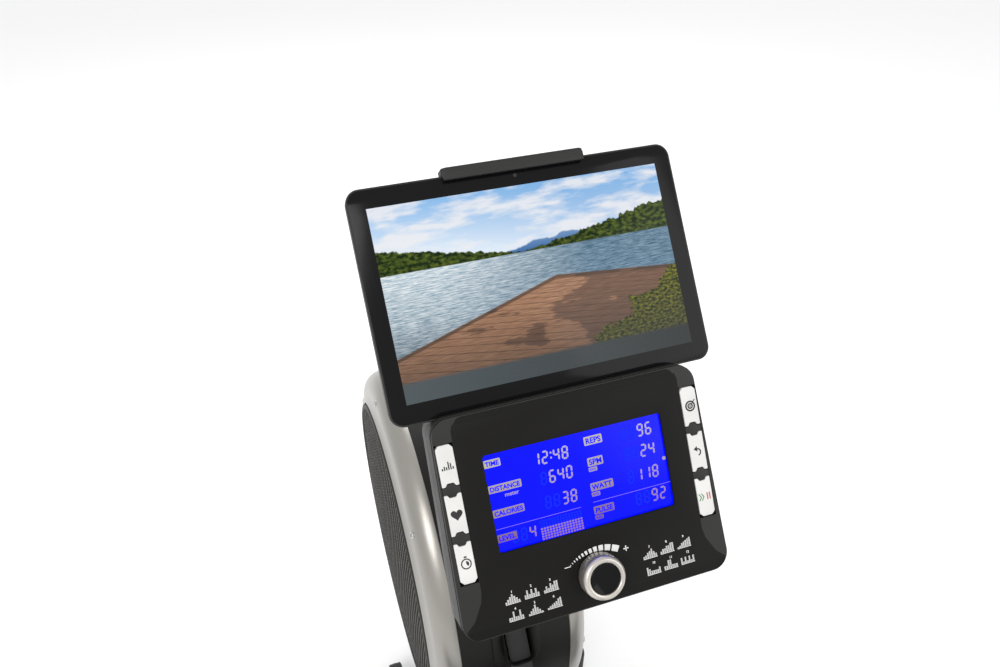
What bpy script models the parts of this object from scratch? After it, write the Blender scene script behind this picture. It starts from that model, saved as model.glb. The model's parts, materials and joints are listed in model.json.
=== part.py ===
"""Folding magnetic rowing machine, metres, +Z up, rower facing +Y, standing on z = 0."""
import bpy
import bmesh
from math import acos, atan2, cos, degrees, radians, sin
from mathutils import Matrix, Vector

# driving dimensions
HALF_LENGTH = 1.006          # the machine spans this far each way along Y
GAP = 0.0004                 # room left between touching pieces
DISC_R = 0.2325              # flywheel housing, outer radius
DISC_Y = HALF_LENGTH - DISC_R
DISC_Z = 0.401
BAND_HALF = 0.0641           # half width of the black band round the housing
BAND_WALL = 0.003
SHELL_EDGE = 0.0645          # where each silver shell starts
SHELL_ROUND = 0.026
SHELL_WALL = 0.003
VENT_R = 0.1914
VENT_EDGE = 0.095            # x of the shell at the vent's rim
VENT_DOME = 0.010
SLOT_HALF = 0.018
SLOT_FRAME_HALF = 0.028
SLOT_FROM = 9.7              # slot, degrees above the housing's middle
SLOT_TO = 60.0
PLATE_OUT = 0.030            # frame side plates
PLATE_WALL = 0.004
BASE_LOW = 0.081
BASE_HIGH = 0.131
TUBE_WALL = 0.003            # steel wall of the hollow frame members
RISER = (0.400, 0.470)       # y of the riser that carries rail, pedals and handle rest
RISER_HALF = 0.034
RISER_TOP = 0.3354
HINGE = Vector((0, 0.330, 0.300))
RAIL_HALF = 0.030
RAIL_HEIGHT = 0.050
RAIL_WALL = 0.004
RAIL_FRONT = 0.355
RAIL_REAR = -0.985
STAND_Y = -0.930
FOOT_X = 0.2255              # middle of each rear end cap
TUBE_HALF = 0.200            # half length of the cross tubes
FRONT_TUBE_Y = 0.740
FRONT_TUBE_HALF = 0.1315     # the front stabilizer is narrower than the rear one
FRONT_FOOT_X = 0.157
WHEEL = Vector((0.115, 0.790, 0.033))   # right transport wheel's middle
SEAT_Y = -0.100
ROLLER_R = 0.0177
ROLLER_Z = HINGE.z + RAIL_HEIGHT / 2 + ROLLER_R + GAP
PEDAL = Vector((0, 0.445, 0.215))
PEDAL_X = 0.140
PEDAL_TILT = 50.0            # footplate above the floor's plane
FLYWHEEL = Vector((0, 0.800, 0.375))
FLYWHEEL_R = 0.130
SHEAVE_R = 0.018
DRUM = Vector((0, 0.690, 0.500))
PULLEY_R = 0.085
STRAP_R = 0.045              # strap's wound radius on the drum
GUIDE = Vector((0, 0.600, 0.510))
GUIDE_R = 0.013
MAGNET_PIVOT = Vector((0, 0.896, 0.490))
HANDLE = Vector((0, 0.478, 0.383))
HANDLE_R = 0.0125
HANDLE_HALF = 0.200
GRIP_R = 0.0175
STRAP_WIDTH = 0.024
STRAP_THICK = 0.0016
LCD = Vector((0, 0.428, 0.860))
CONSOLE_TILT = 34.97         # console leans back from upright
CONSOLE_TOP = 0.0654
CONSOLE_LOW = -0.0906
CONSOLE_DEPTH = 0.034
KNOB_B = -0.067
KNOB_R = 0.016
TILT_PIVOT = Vector((0, 0.4534, 0.8178))
TABLET = Vector((0, 0.5267, 0.9681))
TABLET_TILT = 39.83
TABLET_SIZE = (0.243, 0.164, 0.0078)

for stale in list(bpy.data.objects):
    bpy.data.objects.remove(stale, do_unlink=True)
parts = bpy.data.collections.new("rowing_machine")
cutters = bpy.data.collections.new("cutters")
for group in (parts, cutters):
    bpy.context.scene.collection.children.link(group)

ALONG_X = (radians(90), 0, radians(90))      # an outline in YZ, thick along X
TURNED_X = (0, radians(90), 0)               # a turned shape, axis along X


def material(name, colour, roughness, metallic):
    made = bpy.data.materials.new(name)
    made.use_nodes = True
    shader = made.node_tree.nodes["Principled BSDF"]
    shader.inputs["Base Color"].default_value = (*colour, 1)
    shader.inputs["Roughness"].default_value = roughness
    shader.inputs["Metallic"].default_value = metallic
    return made


LOOKS = {
    "frame_paint": ((0.03, 0.03, 0.032), 0.45, 0.2), "silver": ((0.48, 0.47, 0.45), 0.35, 0.6),
    "black_plastic": ((0.018, 0.018, 0.018), 0.6, 0.0), "steel": ((0.6, 0.6, 0.6), 0.3, 1.0),
    "iron": ((0.12, 0.12, 0.12), 0.5, 0.8), "rubber": ((0.02, 0.02, 0.02), 0.85, 0.0),
    "alloy": ((0.72, 0.72, 0.73), 0.3, 0.9), "foam": ((0.03, 0.03, 0.03), 0.8, 0.0),
    "webbing": ((0.02, 0.02, 0.022), 0.9, 0.0), "key_white": ((0.8, 0.8, 0.78), 0.5, 0.0),
    "lcd_blue": ((0.0, 0.02, 0.9), 0.2, 0.0), "tablet_black": ((0.01, 0.01, 0.01), 0.1, 0.0),
}


def finish(obj, look, group=None):
    """Puts an object in its collection with its own material."""
    for holder in list(obj.users_collection):
        holder.objects.unlink(obj)
    (group or parts).objects.link(obj)
    obj.data.materials.clear()
    obj.data.materials.append(material(obj.name, *LOOKS[look]))
    return obj


def bevel(obj, width, segments=2, angle=40):
    made = obj.modifiers.new("edges", "BEVEL")
    made.width = width
    made.segments = segments
    made.angle_limit = radians(angle)
    return obj


def smooth(obj, angle=35):
    obj.data.shade_smooth()
    obj.data.set_sharp_from_angle(angle=radians(angle))
    return obj


def box(name, low, high, look, edge=0.0, group=None):
    """A box between two corners, rounded by edge."""
    low = Vector(low)
    high = Vector(high)
    bpy.ops.mesh.primitive_cube_add(size=1, location=(low + high) / 2)
    obj = bpy.context.object
    obj.name = name
    obj.data.transform(Matrix.Diagonal((*(high - low), 1)))
    if edge:
        bevel(obj, edge)
    return finish(obj, look, group)


def cylinder(name, centre, radius, length, look, turn=TURNED_X, sides=16, group=None):
    bpy.ops.mesh.primitive_cylinder_add(
        radius=radius, depth=length, vertices=sides, location=centre, rotation=turn)
    obj = bpy.context.object
    obj.name = name
    return finish(smooth(obj), look, group)


def outline(name, points, thickness, look, centre=(0, 0, 0), turn=ALONG_X, holes=(), group=None):
    """A flat outline given thickness, half to each side of its plane."""
    curve = bpy.data.curves.new(name, "CURVE")
    curve.dimensions = "2D"
    curve.fill_mode = "BOTH"
    curve.extrude = thickness / 2
    for loop in (points, *holes):
        spline = curve.splines.new("POLY")
        spline.points.add(len(loop) - 1)
        for target, (a, b) in zip(spline.points, loop):
            target.co = (a, b, 0, 1)
        spline.use_cyclic_u = True
    guide = bpy.data.objects.new(name + "_curve", curve)
    parts.objects.link(guide)
    bpy.context.view_layer.update()
    shape = bpy.data.meshes.new_from_object(guide.evaluated_get(bpy.context.evaluated_depsgraph_get()))
    bpy.data.objects.remove(guide)
    bpy.data.curves.remove(curve)
    work = bmesh.new()
    work.from_mesh(shape)
    bmesh.ops.remove_doubles(work, verts=work.verts, dist=0.00001)
    bmesh.ops.recalc_face_normals(work, faces=work.faces)
    work.to_mesh(shape)
    work.free()
    obj = bpy.data.objects.new(name, shape)
    obj.location = centre
    obj.rotation_euler = turn
    parts.objects.link(obj)
    return finish(obj, look, group)


def turned(name, profile, look, centre=(0, 0, 0), turn=TURNED_X, steps=48, group=None):
    """A profile of (along, radius) points turned about the axis through centre."""
    area = 0
    for (a0, r0), (a1, r1) in zip(profile, profile[1:] + profile[:1]):
        area += a0 * r1 - a1 * r0
    if area > 0:
        profile = profile[::-1]
    closed = profile[0][1] > 0.00001 or profile[-1][1] > 0.00001
    shape = bpy.data.meshes.new(name)
    edges = [(i, i + 1) for i in range(len(profile) - 1)]
    if closed:
        edges.append((len(profile) - 1, 0))
    shape.from_pydata([(r, 0, a) for a, r in profile], edges, [])
    obj = bpy.data.objects.new(name, shape)
    screw = obj.modifiers.new("turn", "SCREW")
    screw.steps = steps
    screw.render_steps = steps
    screw.use_merge_vertices = True
    screw.merge_threshold = 0.00001
    screw.use_smooth_shade = True
    screw.use_normal_flip = True
    obj.location = centre
    obj.rotation_euler = turn
    parts.objects.link(obj)
    return finish(obj, look, group)


def combine(obj, other, operation):
    """Joins, cuts or keeps what two objects share; the other goes to the cutters."""
    made = obj.modifiers.new(operation.lower(), "BOOLEAN")
    made.operation = operation
    made.object = other
    made.solver = "EXACT"
    for holder in list(other.users_collection):
        holder.objects.unlink(other)
    cutters.objects.link(other)
    other.hide_render = True
    other.display_type = "WIRE"
    return obj


def cut(obj, *others):
    for other in others:
        combine(obj, other, "DIFFERENCE")
    return obj


def join(obj, *others):
    for other in others:
        combine(obj, other, "UNION")
    return obj


def arc(centre, radius, start, end, steps):
    """Points round a centre, angles in degrees."""
    made = []
    for i in range(steps + 1):
        angle = radians(start + (end - start) * i / steps)
        made.append((centre[0] + radius * cos(angle), centre[1] + radius * sin(angle)))
    return made


def empty(name, location, tilt):
    """A frame whose local Y runs up a panel that leans back by tilt, local Z out of its face."""
    made = bpy.data.objects.new(name, None)
    made.location = location
    made.rotation_euler = (radians(90 - tilt), 0, 0)
    parts.objects.link(made)
    return made


def under(parent, *objects):
    for obj in objects:
        obj.parent = parent


def shell_profile(side):
    """Section of a silver shell: rim round and cheek, out to the vent's hole."""
    middle = (SHELL_EDGE, DISC_R - SHELL_ROUND)
    outer = arc(middle, SHELL_ROUND, 90, 0, 4) + [(VENT_EDGE, VENT_R + GAP)]
    inner = arc(middle, SHELL_ROUND - SHELL_WALL, 90, 0, 4) + [(VENT_EDGE - SHELL_WALL, VENT_R + GAP)]
    return [(side * x, r) for x, r in outer + inner[::-1]]


def vent_profile(side):
    steps = 3
    outer = []
    for i in range(steps + 1):
        r = VENT_R * i / steps
        outer.append((VENT_EDGE + VENT_DOME * (1 - (r / VENT_R) ** 2) + 0.001, r))
    inner = [(x - SHELL_WALL, r) for x, r in outer]
    return [(side * x, r) for x, r in outer + inner[::-1]]


def build_housing():
    disc = (0, DISC_Y, DISC_Z)
    for side, word in ((-1, "left"), (1, "right")):
        turned(word + "_shell", shell_profile(side), "silver", disc, steps=48)
        turned(word + "_vent", vent_profile(side), "black_plastic", disc, steps=48)
    band_r = DISC_R - 0.0008
    band = [(-BAND_HALF, band_r), (BAND_HALF, band_r),
            (BAND_HALF, band_r - BAND_WALL), (-BAND_HALF, band_r - BAND_WALL)]
    panel = turned("front_panel", band, "black_plastic", disc, steps=60)
    middle = radians((SLOT_FROM + SLOT_TO) / 2)
    half_run = DISC_R * sin(radians(SLOT_TO - SLOT_FROM) / 2)
    slot = slot_prism("slot_cutter", SLOT_HALF, half_run, middle)
    top = box("mast_cutter", (-0.024, 0.655, 0.56), (0.024, 0.760, 0.68), "rubber")
    bottom = box("frame_cutter", (-0.0315, 0.615, 0.10), (0.0315, 0.9305, 0.30), "rubber")
    cut(panel, slot, top, bottom)
    plate_r = DISC_R + 0.0015
    ring = [(-0.04, plate_r), (0.04, plate_r), (0.04, band_r + GAP), (-0.04, band_r + GAP)]
    bezel = turned("slot_bezel", ring, "black_plastic", disc, steps=60)
    combine(bezel, slot_prism("bezel_keep", SLOT_FRAME_HALF, half_run + 0.010, middle), "INTERSECT")
    cut(bezel, slot_prism("bezel_slot", SLOT_HALF - 0.001, half_run - 0.001, middle))


def slot_prism(name, half_width, half_run, middle):
    """A long rounded prism pointing out of the housing along its radius."""
    corner = half_width * 0.6
    a = half_width - corner
    b = half_run - corner
    points = arc((a, b), corner, 0, 90, 4) + arc((-a, b), corner, 90, 180, 4)
    points += arc((-a, -b), corner, 180, 270, 4) + arc((a, -b), corner, 270, 360, 4)
    out = Vector((0, -cos(middle), sin(middle)))
    centre = Vector((0, DISC_Y, DISC_Z)) + out * DISC_R
    return outline(name, points, 0.16, "rubber", centre, (atan2(-out.y, out.z), 0, 0))


def build_frame():
    frame = box("main_frame", (-0.030, RISER[0], BASE_LOW), (0.030, 0.930, BASE_HIGH), "frame_paint")
    join(frame, box("riser", (-RISER_HALF, RISER[0], 0.090), (RISER_HALF, RISER[1], RISER_TOP), "frame_paint"))
    # one hollow runs up the riser and along the base tube, open at its front end
    cut(frame, box("riser_bore", (-RISER_HALF + TUBE_WALL, RISER[0] + TUBE_WALL, 0.100),
                   (RISER_HALF - TUBE_WALL, RISER[1] - TUBE_WALL, RISER_TOP - TUBE_WALL), "frame_paint"))
    cut(frame, box("base_bore", (-0.0262, RISER[0] + TUBE_WALL, BASE_LOW + TUBE_WALL),
                   (0.0262, 0.9400, BASE_HIGH - TUBE_WALL), "frame_paint"))
    # middle foot, which carries the machine when the rail is folded up
    join(frame, box("foot_post", (-0.025, 0.412, 0.010), (0.025, 0.458, BASE_LOW + 0.001), "frame_paint"))
    join(frame, box("foot_bar", (-0.110, 0.412, 0), (0.110, 0.458, 0.022), "frame_paint"))
    plate = [(0.630, 0.100), (0.912, 0.100), (0.915, 0.300), (0.915, 0.505), (0.880, 0.515),
             (0.745, 0.575), (0.655, 0.575), (0.620, 0.420)]
    for side in (-1, 1):
        x = side * (PLATE_OUT - PLATE_WALL / 2)
        bores = [arc((FLYWHEEL.y, FLYWHEEL.z), 0.0066, 360, 24, 14)]
        join(frame, outline("plate", plate, PLATE_WALL, "frame_paint", (x, 0, 0), holes=bores))
        ear = [(0.300, 0.262), (0.430, 0.262), (0.430, 0.3300), (0.310, 0.3380), (0.300, 0.330)]
        bores = [arc((HINGE.y, HINGE.z), 0.0066, 360, 24, 14), arc((0.312, 0.280), 0.0056, 360, 24, 14)]
        join(frame, outline("ear", ear, 0.0048, "frame_paint", (side * 0.0336, 0, 0), holes=bores))
    join(frame, box("mast_seat", (-0.028, 0.668, 0.5540), (0.028, 0.732, 0.5730), "frame_paint"))
    join(frame, cylinder("magnet_pin", (-0.0460, MAGNET_PIVOT.y, MAGNET_PIVOT.z), 0.004, 0.036, "steel"))
    arm = [(0.590, 0.500), (0.660, 0.500), (0.660, 0.535), (0.600, 0.522), (0.590, 0.518)]
    for side in (-1, 1):
        bore = [arc((GUIDE.y, GUIDE.z), 0.0046, 360, 24, 14)]
        join(frame, outline("guide_arm", arm, 0.004, "frame_paint", (side * 0.026, 0, 0), holes=bore))
    join(frame, cylinder("footrest_bar", PEDAL, 0.011, 0.404, "steel"))
    join(frame, cylinder("drum_axle", (0.008, DRUM.y, DRUM.z), 0.006, 0.088, "steel"))
    cylinder("rail_hinge_pin", HINGE, 0.006, 0.084, "steel")
    tube = cylinder("front_stabilizer", (0, FRONT_TUBE_Y, 0.055), 0.0254, 2 * FRONT_TUBE_HALF, "frame_paint",
                    sides=20)
    for side, word in ((-1, "left"), (1, "right")):
        lug = [(FRONT_TUBE_Y, 0.040), (WHEEL.y + 0.002, 0.022), (WHEEL.y + 0.013, 0.032),
               (WHEEL.y + 0.002, 0.044), (FRONT_TUBE_Y, 0.070)]
        join(tube, outline("wheel_lug", lug, 0.004, "frame_paint", (side * (WHEEL.x - 0.015), 0, 0)))
        join(tube, cylinder("wheel_stub", (side * (WHEEL.x - 0.001), WHEEL.y, WHEEL.z), 0.005, 0.028, "steel"))
        wheel = [(-0.010, 0.0056), (-0.010, 0.021), (-0.007, 0.025), (0.007, 0.025),
                 (0.010, 0.021), (0.010, 0.0056)]
        turned(word + "_transport_wheel", wheel, "rubber", (side * WHEEL.x, WHEEL.y, WHEEL.z), steps=18)
        bevel(box("front_cap_" + word, (side * FRONT_FOOT_X - 0.025, FRONT_TUBE_Y - 0.034, 0),
                  (side * FRONT_FOOT_X + 0.025, FRONT_TUBE_Y + 0.034, 0.086), "rubber"), 0.012, 3)
    cut(tube, cylinder("front_bore", (0, FRONT_TUBE_Y, 0.055), 0.0254 - TUBE_WALL, 0.5, "frame_paint", sides=20))
    box("servo_motor", (-0.0245, 0.690, 0.270), (0.0245, 0.748, 0.322), "black_plastic", 0.003)
    inlet = box("dc_inlet", (-0.012, 0.9312, 0.096), (0.012, 0.9460, 0.120), "black_plastic", 0.002)
    cut(inlet, cylinder("jack_bore", (0, 0.9460, 0.108), 0.0045, 0.020, "steel", (radians(90), 0, 0), 16))


def build_cradle():
    bar = (HANDLE.y, HANDLE.z)
    saddle = arc(bar, HANDLE_R + GAP + 0.0002, 10, -130, 8)
    base = RISER_TOP + GAP
    hook = [(0.405, base), (0.470, base), (0.500, 0.356), (0.503, 0.392), (0.496, 0.394)] + saddle
    hook += [(0.4630, 0.3742), (0.457, 0.3730), (0.405, 0.3450)]
    cradle = box("handle_cradle", (-0.043, 0.405, base), (0.043, 0.465, base + 0.005), "black_plastic")
    for side in (-1, 1):
        join(cradle, outline("hook", hook, 0.006, "black_plastic", (side * 0.040, 0, 0)))


def build_drive():
    wheel = [(-0.058, 0.0064), (-0.058, FLYWHEEL_R - 0.002), (-0.056, FLYWHEEL_R), (-0.040, FLYWHEEL_R),
             (-0.038, FLYWHEEL_R - 0.002), (-0.038, 0.0064)]
    turned("flywheel", wheel, "iron", FLYWHEEL, steps=36)
    spindle = [(-0.062, 0), (-0.062, 0.006), (0.0340, 0.006), (0.0340, 0.0215), (0.0355, 0.0215),
               (0.0360, SHEAVE_R), (0.0460, SHEAVE_R), (0.0465, 0.0215), (0.0480, 0.0215), (0.0480, 0)]
    turned("flywheel_axle", spindle, "steel", FLYWHEEL, steps=18)
    pulley = [(0.0345, 0.0064), (0.0345, 0.020), (0.0375, 0.024), (0.0375, 0.076), (0.0360, 0.079),
              (0.0360, PULLEY_R), (0.0460, PULLEY_R), (0.0460, 0.079), (0.0445, 0.076), (0.0445, 0.024),
              (0.0475, 0.020), (0.0475, 0.0064)]
    turned("drive_pulley", pulley, "black_plastic", DRUM, steps=30)
    drum = [(-0.0165, 0.0064), (-0.0165, 0.052), (-0.0145, 0.052), (-0.0145, STRAP_R - STRAP_THICK),
            (0.0145, STRAP_R - STRAP_THICK), (0.0145, 0.052), (0.0165, 0.052), (0.0165, 0.0064)]
    turned("strap_drum", drum, "black_plastic", DRUM, steps=28)
    guide = [(-0.0278, 0), (-0.0278, 0.004), (-0.0165, 0.004), (-0.0165, GUIDE_R), (0.0165, GUIDE_R),
             (0.0165, 0.004), (0.0278, 0.004), (0.0278, 0)]
    turned("guide_roller", guide, "steel", GUIDE, steps=16)
    build_belt()
    outer = arc((FLYWHEEL.y, FLYWHEEL.z), 0.1385, -16, 44, 12)
    inner = arc((FLYWHEEL.y, FLYWHEEL.z), 0.104, 44, -16, 12)
    lug = [(FLYWHEEL.y + 0.076, FLYWHEEL.z + 0.125), (MAGNET_PIVOT.y - 0.004, MAGNET_PIVOT.z + 0.010),
           (MAGNET_PIVOT.y + 0.010, MAGNET_PIVOT.z + 0.006)]
    outer = outer[:-1] + lug[::-1]
    bore = [arc((MAGNET_PIVOT.y, MAGNET_PIVOT.z), 0.0045, 360, 30, 11)]
    bracket = outline("magnet_bracket", outer + inner, 0.029, "iron", (-0.0480, 0, 0), holes=bore)
    cut(bracket, cylinder("rim_room", (-0.0480, FLYWHEEL.y, FLYWHEEL.z), 0.134, 0.023, "iron", sides=36))


def build_belt():
    """The belt's loop round the drive pulley and the flywheel's sheave."""
    thick = 0.0022
    run = (FLYWHEEL - DRUM)
    heading = degrees(atan2(run.z, run.y))
    loops = []
    for extra in (GAP, GAP + thick):
        big = PULLEY_R + extra
        small = SHEAVE_R + extra
        lean = degrees(acos((big - small) / run.length))
        loops.append(arc((DRUM.y, DRUM.z), big, heading + lean, heading + 360 - lean, 24)
                     + arc((FLYWHEEL.y, FLYWHEEL.z), small, heading - lean, heading + lean, 6))
    outline("drive_belt", loops[1], 0.0085, "rubber", (0.041, 0, 0), holes=[loops[0][::-1]])


def build_rail():
    top = HINGE.z + RAIL_HEIGHT / 2
    low = HINGE.z - RAIL_HEIGHT / 2
    rail = box("rail", (-RAIL_HALF, RAIL_REAR, low), (RAIL_HALF, RAIL_FRONT, top), "alloy")
    cut(rail, box("rail_bore", (-RAIL_HALF + RAIL_WALL, RAIL_REAR - 0.01, low + RAIL_WALL),
                  (RAIL_HALF - RAIL_WALL, RAIL_FRONT + 0.01, top - RAIL_WALL), "alloy"))
    for side in (-1, 1):
        cut(rail, box("rail_groove", (side * 0.0300 - 0.0018, RAIL_REAR - 0.02, HINGE.z - 0.006),
                      (side * 0.0300 + 0.0018, RAIL_FRONT + 0.02, HINGE.z + 0.006), "alloy"))
    cut(rail, cylinder("hinge_bore", HINGE, 0.0066, 0.2, "steel"))
    box("rear_stop", (-0.036, -HALF_LENGTH, low - 0.005),
        (0.036, RAIL_REAR - GAP, top + 0.022), "rubber", 0.006)
    stand = box("rear_stand", (-0.025, STAND_Y - 0.022, 0.045),
                (0.025, STAND_Y + 0.022, low - GAP), "frame_paint")
    join(stand, cylinder("rear_tube", (0, STAND_Y, 0.050), 0.022, 2 * TUBE_HALF, "frame_paint", sides=20))
    cut(stand, cylinder("rear_bore", (0, STAND_Y, 0.050), 0.022 - TUBE_WALL, 0.5, "frame_paint", sides=20))
    cut(stand, box("stand_bore", (-0.025 + TUBE_WALL, STAND_Y - 0.022 + TUBE_WALL, 0.050),
                   (0.025 - TUBE_WALL, STAND_Y + 0.022 - TUBE_WALL, 0.30), "frame_paint"))
    for side, word in ((-1, "left"), (1, "right")):
        bevel(box("rear_cap_" + word, (side * FOOT_X - 0.025, STAND_Y - 0.031, 0),
                  (side * FOOT_X + 0.025, STAND_Y + 0.031, 0.078), "rubber"), 0.012, 3)
    pin = [(0.0322, 0), (0.0322, 0.005), (0.0420, 0.005), (0.0420, 0.011), (0.0440, 0.013),
           (0.0620, 0.013), (0.0640, 0.011), (0.0640, 0)]
    turned("fold_pin", pin, "black_plastic", (0, 0.312, 0.280), steps=24)


def build_seat():
    low = HINGE.z - 0.012
    deck = 0.3740
    carriage = box("seat_carriage", (-0.044, SEAT_Y - 0.085, low),
                   (0.044, SEAT_Y + 0.085, deck + 0.004), "steel")
    cut(carriage, box("carriage_room", (-0.038, SEAT_Y - 0.09, low - 0.01),
                      (0.038, SEAT_Y + 0.09, deck), "steel"))
    for offset, word in ((0.058, "front"), (-0.058, "rear")):
        y = SEAT_Y + offset
        cut(carriage, cylinder("roller_bore", (0, y, ROLLER_Z), 0.0055, 0.2, "steel", sides=12))
        roller = [(-0.0462, 0), (-0.0462, 0.005), (-0.0285, 0.005), (-0.0285, ROLLER_R), (-0.0120, ROLLER_R),
                  (-0.0120, 0.005), (0.0120, 0.005), (0.0120, ROLLER_R), (0.0285, ROLLER_R), (0.0285, 0.005),
                  (0.0462, 0.005), (0.0462, 0)]
        turned(word + "_roller", roller, "black_plastic", (0, y, ROLLER_Z), steps=16)
    half_x = 0.155
    half_y = 0.120
    corner = 0.060
    points = []
    for i, (sx, sy) in enumerate(((1, 1), (-1, 1), (-1, -1), (1, -1))):
        centre = (sx * (half_x - corner), sy * (half_y - corner))
        points += arc(centre, corner, 90 * i, 90 * i + 90, 5)
    low = deck + 0.004 + GAP
    high = 0.4550
    pad = outline("seat_pad", points, high - low, "foam", (0, SEAT_Y, (low + high) / 2), (0, 0, 0))
    bevel(pad, 0.016, 2)


def build_pedals():
    for side, word in ((-1, "left"), (1, "right")):
        joint = empty(word + "_pedal_frame", (side * PEDAL_X, PEDAL.y, PEDAL.z), 90 - PEDAL_TILT)
        width = 0.110
        ends = arc((0, 0.085), width / 2, 0, 180, 10) + arc((0, -0.105), width / 2 - 0.005, 180, 360, 10)
        plate = outline(word + "_footplate", ends, 0.012, "black_plastic", (0, 0, 0.026), (0, 0, 0))
        boss = cylinder("boss", (0, 0, 0), 0.0200, width - 0.012, "black_plastic", sides=20)
        web = box("web", (-0.040, -0.014, 0.005), (0.040, 0.014, 0.024), "black_plastic")
        bore = cylinder("boss_bore", (0, 0, 0), 0.0115, 0.2, "black_plastic", sides=20)
        cup = arc((0, -0.105), 0.046, 180, 360, 12) + arc((0, -0.105), 0.0405, 360, 180, 12)
        cup = ([(-0.046, -0.070)] + cup[:13] + [(0.046, -0.070), (0.0405, -0.070)] + cup[13:]
               + [(-0.0405, -0.070)])
        heel = outline(word + "_heel_cup", cup, 0.042, "black_plastic", (0, 0, 0.0324 + 0.021), (0, 0, 0))
        strap = arc((0, 0), 0.0530, 0, 180, 14) + arc((0, 0), 0.0500, 180, 0, 14)
        strap = [(x, z * 1.25) for x, z in strap]
        band = outline(word + "_foot_strap", strap, 0.042, "webbing", (0, 0.020, 0.0324), (radians(90), 0, 0))
        under(joint, plate, boss, web, bore, heel, band)
        join(plate, boss, web)
        cut(plate, bore)


def build_handle():
    cylinder("handle_bar", HANDLE, HANDLE_R, 2 * HANDLE_HALF - 0.012, "steel")
    inner = HANDLE_R + GAP
    for side, word in ((-1, "left"), (1, "right")):
        grip = [(side * 0.075, inner), (side * 0.075, 0.0165), (side * 0.080, GRIP_R),
                (side * (HANDLE_HALF - 0.006), GRIP_R), (side * HANDLE_HALF, 0.0140),
                (side * HANDLE_HALF, 0), (side * (HANDLE_HALF - 0.0055), 0),
                (side * (HANDLE_HALF - 0.0055), inner)]
        turned(word + "_grip", grip, "foam", HANDLE, steps=16)
    out = (GUIDE - HANDLE).normalized()
    angle = degrees(atan2(out.z, out.y))
    rim = arc((0, 0), HANDLE_R + 0.0045, 35, 325, 16)
    points = rim + [(0.034, -0.005), (0.034, 0.005)]
    bore = [arc((0, 0), HANDLE_R + GAP, 360, 24, 14)]
    turn = (Matrix.Rotation(radians(angle), 3, "X") @ Matrix(((0, 0, 1), (1, 0, 0), (0, 1, 0)))).to_euler()
    outline("strap_clip", points, 0.028, "steel", HANDLE, turn, holes=bore)
    strap_path = strap_route()
    half = STRAP_THICK / 2
    upper = offset_path(strap_path, half)
    lower = offset_path(strap_path, -half)
    outline("pull_strap", upper + lower[::-1], STRAP_WIDTH, "webbing")


def strap_route():
    """Middle line of the strap: off the drum, over the guide roller and down to the handle's clip."""
    lift = STRAP_THICK / 2 + GAP
    drum = (DRUM.y, DRUM.z, STRAP_R - STRAP_THICK + lift)
    guide = (GUIDE.y, GUIDE.z, GUIDE_R + lift)
    back = atan2(drum[1] - guide[1], drum[0] - guide[0])
    span = ((drum[0] - guide[0]) ** 2 + (drum[1] - guide[1]) ** 2) ** 0.5
    lean = degrees(back + acos((guide[2] - drum[2]) / span))
    down = GUIDE - HANDLE
    reach = down.length
    leave = degrees(atan2(-down.z, -down.y)) - degrees(acos(guide[2] / reach))
    route = arc(drum[:2], drum[2], lean - 30, lean, 4)
    route += arc(guide[:2], guide[2], lean, leave + 360 if leave < lean else leave, 6)
    tip = Vector((HANDLE.y, HANDLE.z)) + Vector((down.y, down.z)).normalized() * 0.0350
    return route + [tuple(tip)]


def offset_path(path, distance):
    """The path moved sideways by distance."""
    made = []
    for i, point in enumerate(path):
        before = Vector(path[max(i - 1, 0)])
        after = Vector(path[min(i + 1, len(path) - 1)])
        along = (after - before).normalized()
        made.append((point[0] - along.y * distance, point[1] + along.x * distance))
    return made


def console_outline(inset=0.0):
    """The console's face: a rounded rectangle, slightly wider at its foot."""
    top = CONSOLE_TOP - inset
    low = CONSOLE_LOW + inset
    wide_top = 0.0990 - inset
    wide_low = 0.1025 - inset
    r = 0.013
    return (arc((wide_top - r, top - r), r, 0, 90, 4) + arc((-wide_top + r, top - r), r, 90, 180, 4)
            + arc((-wide_low + r, low + r), r, 180, 270, 4) + arc((wide_low - r, low + r), r, 270, 360, 4))


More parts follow.
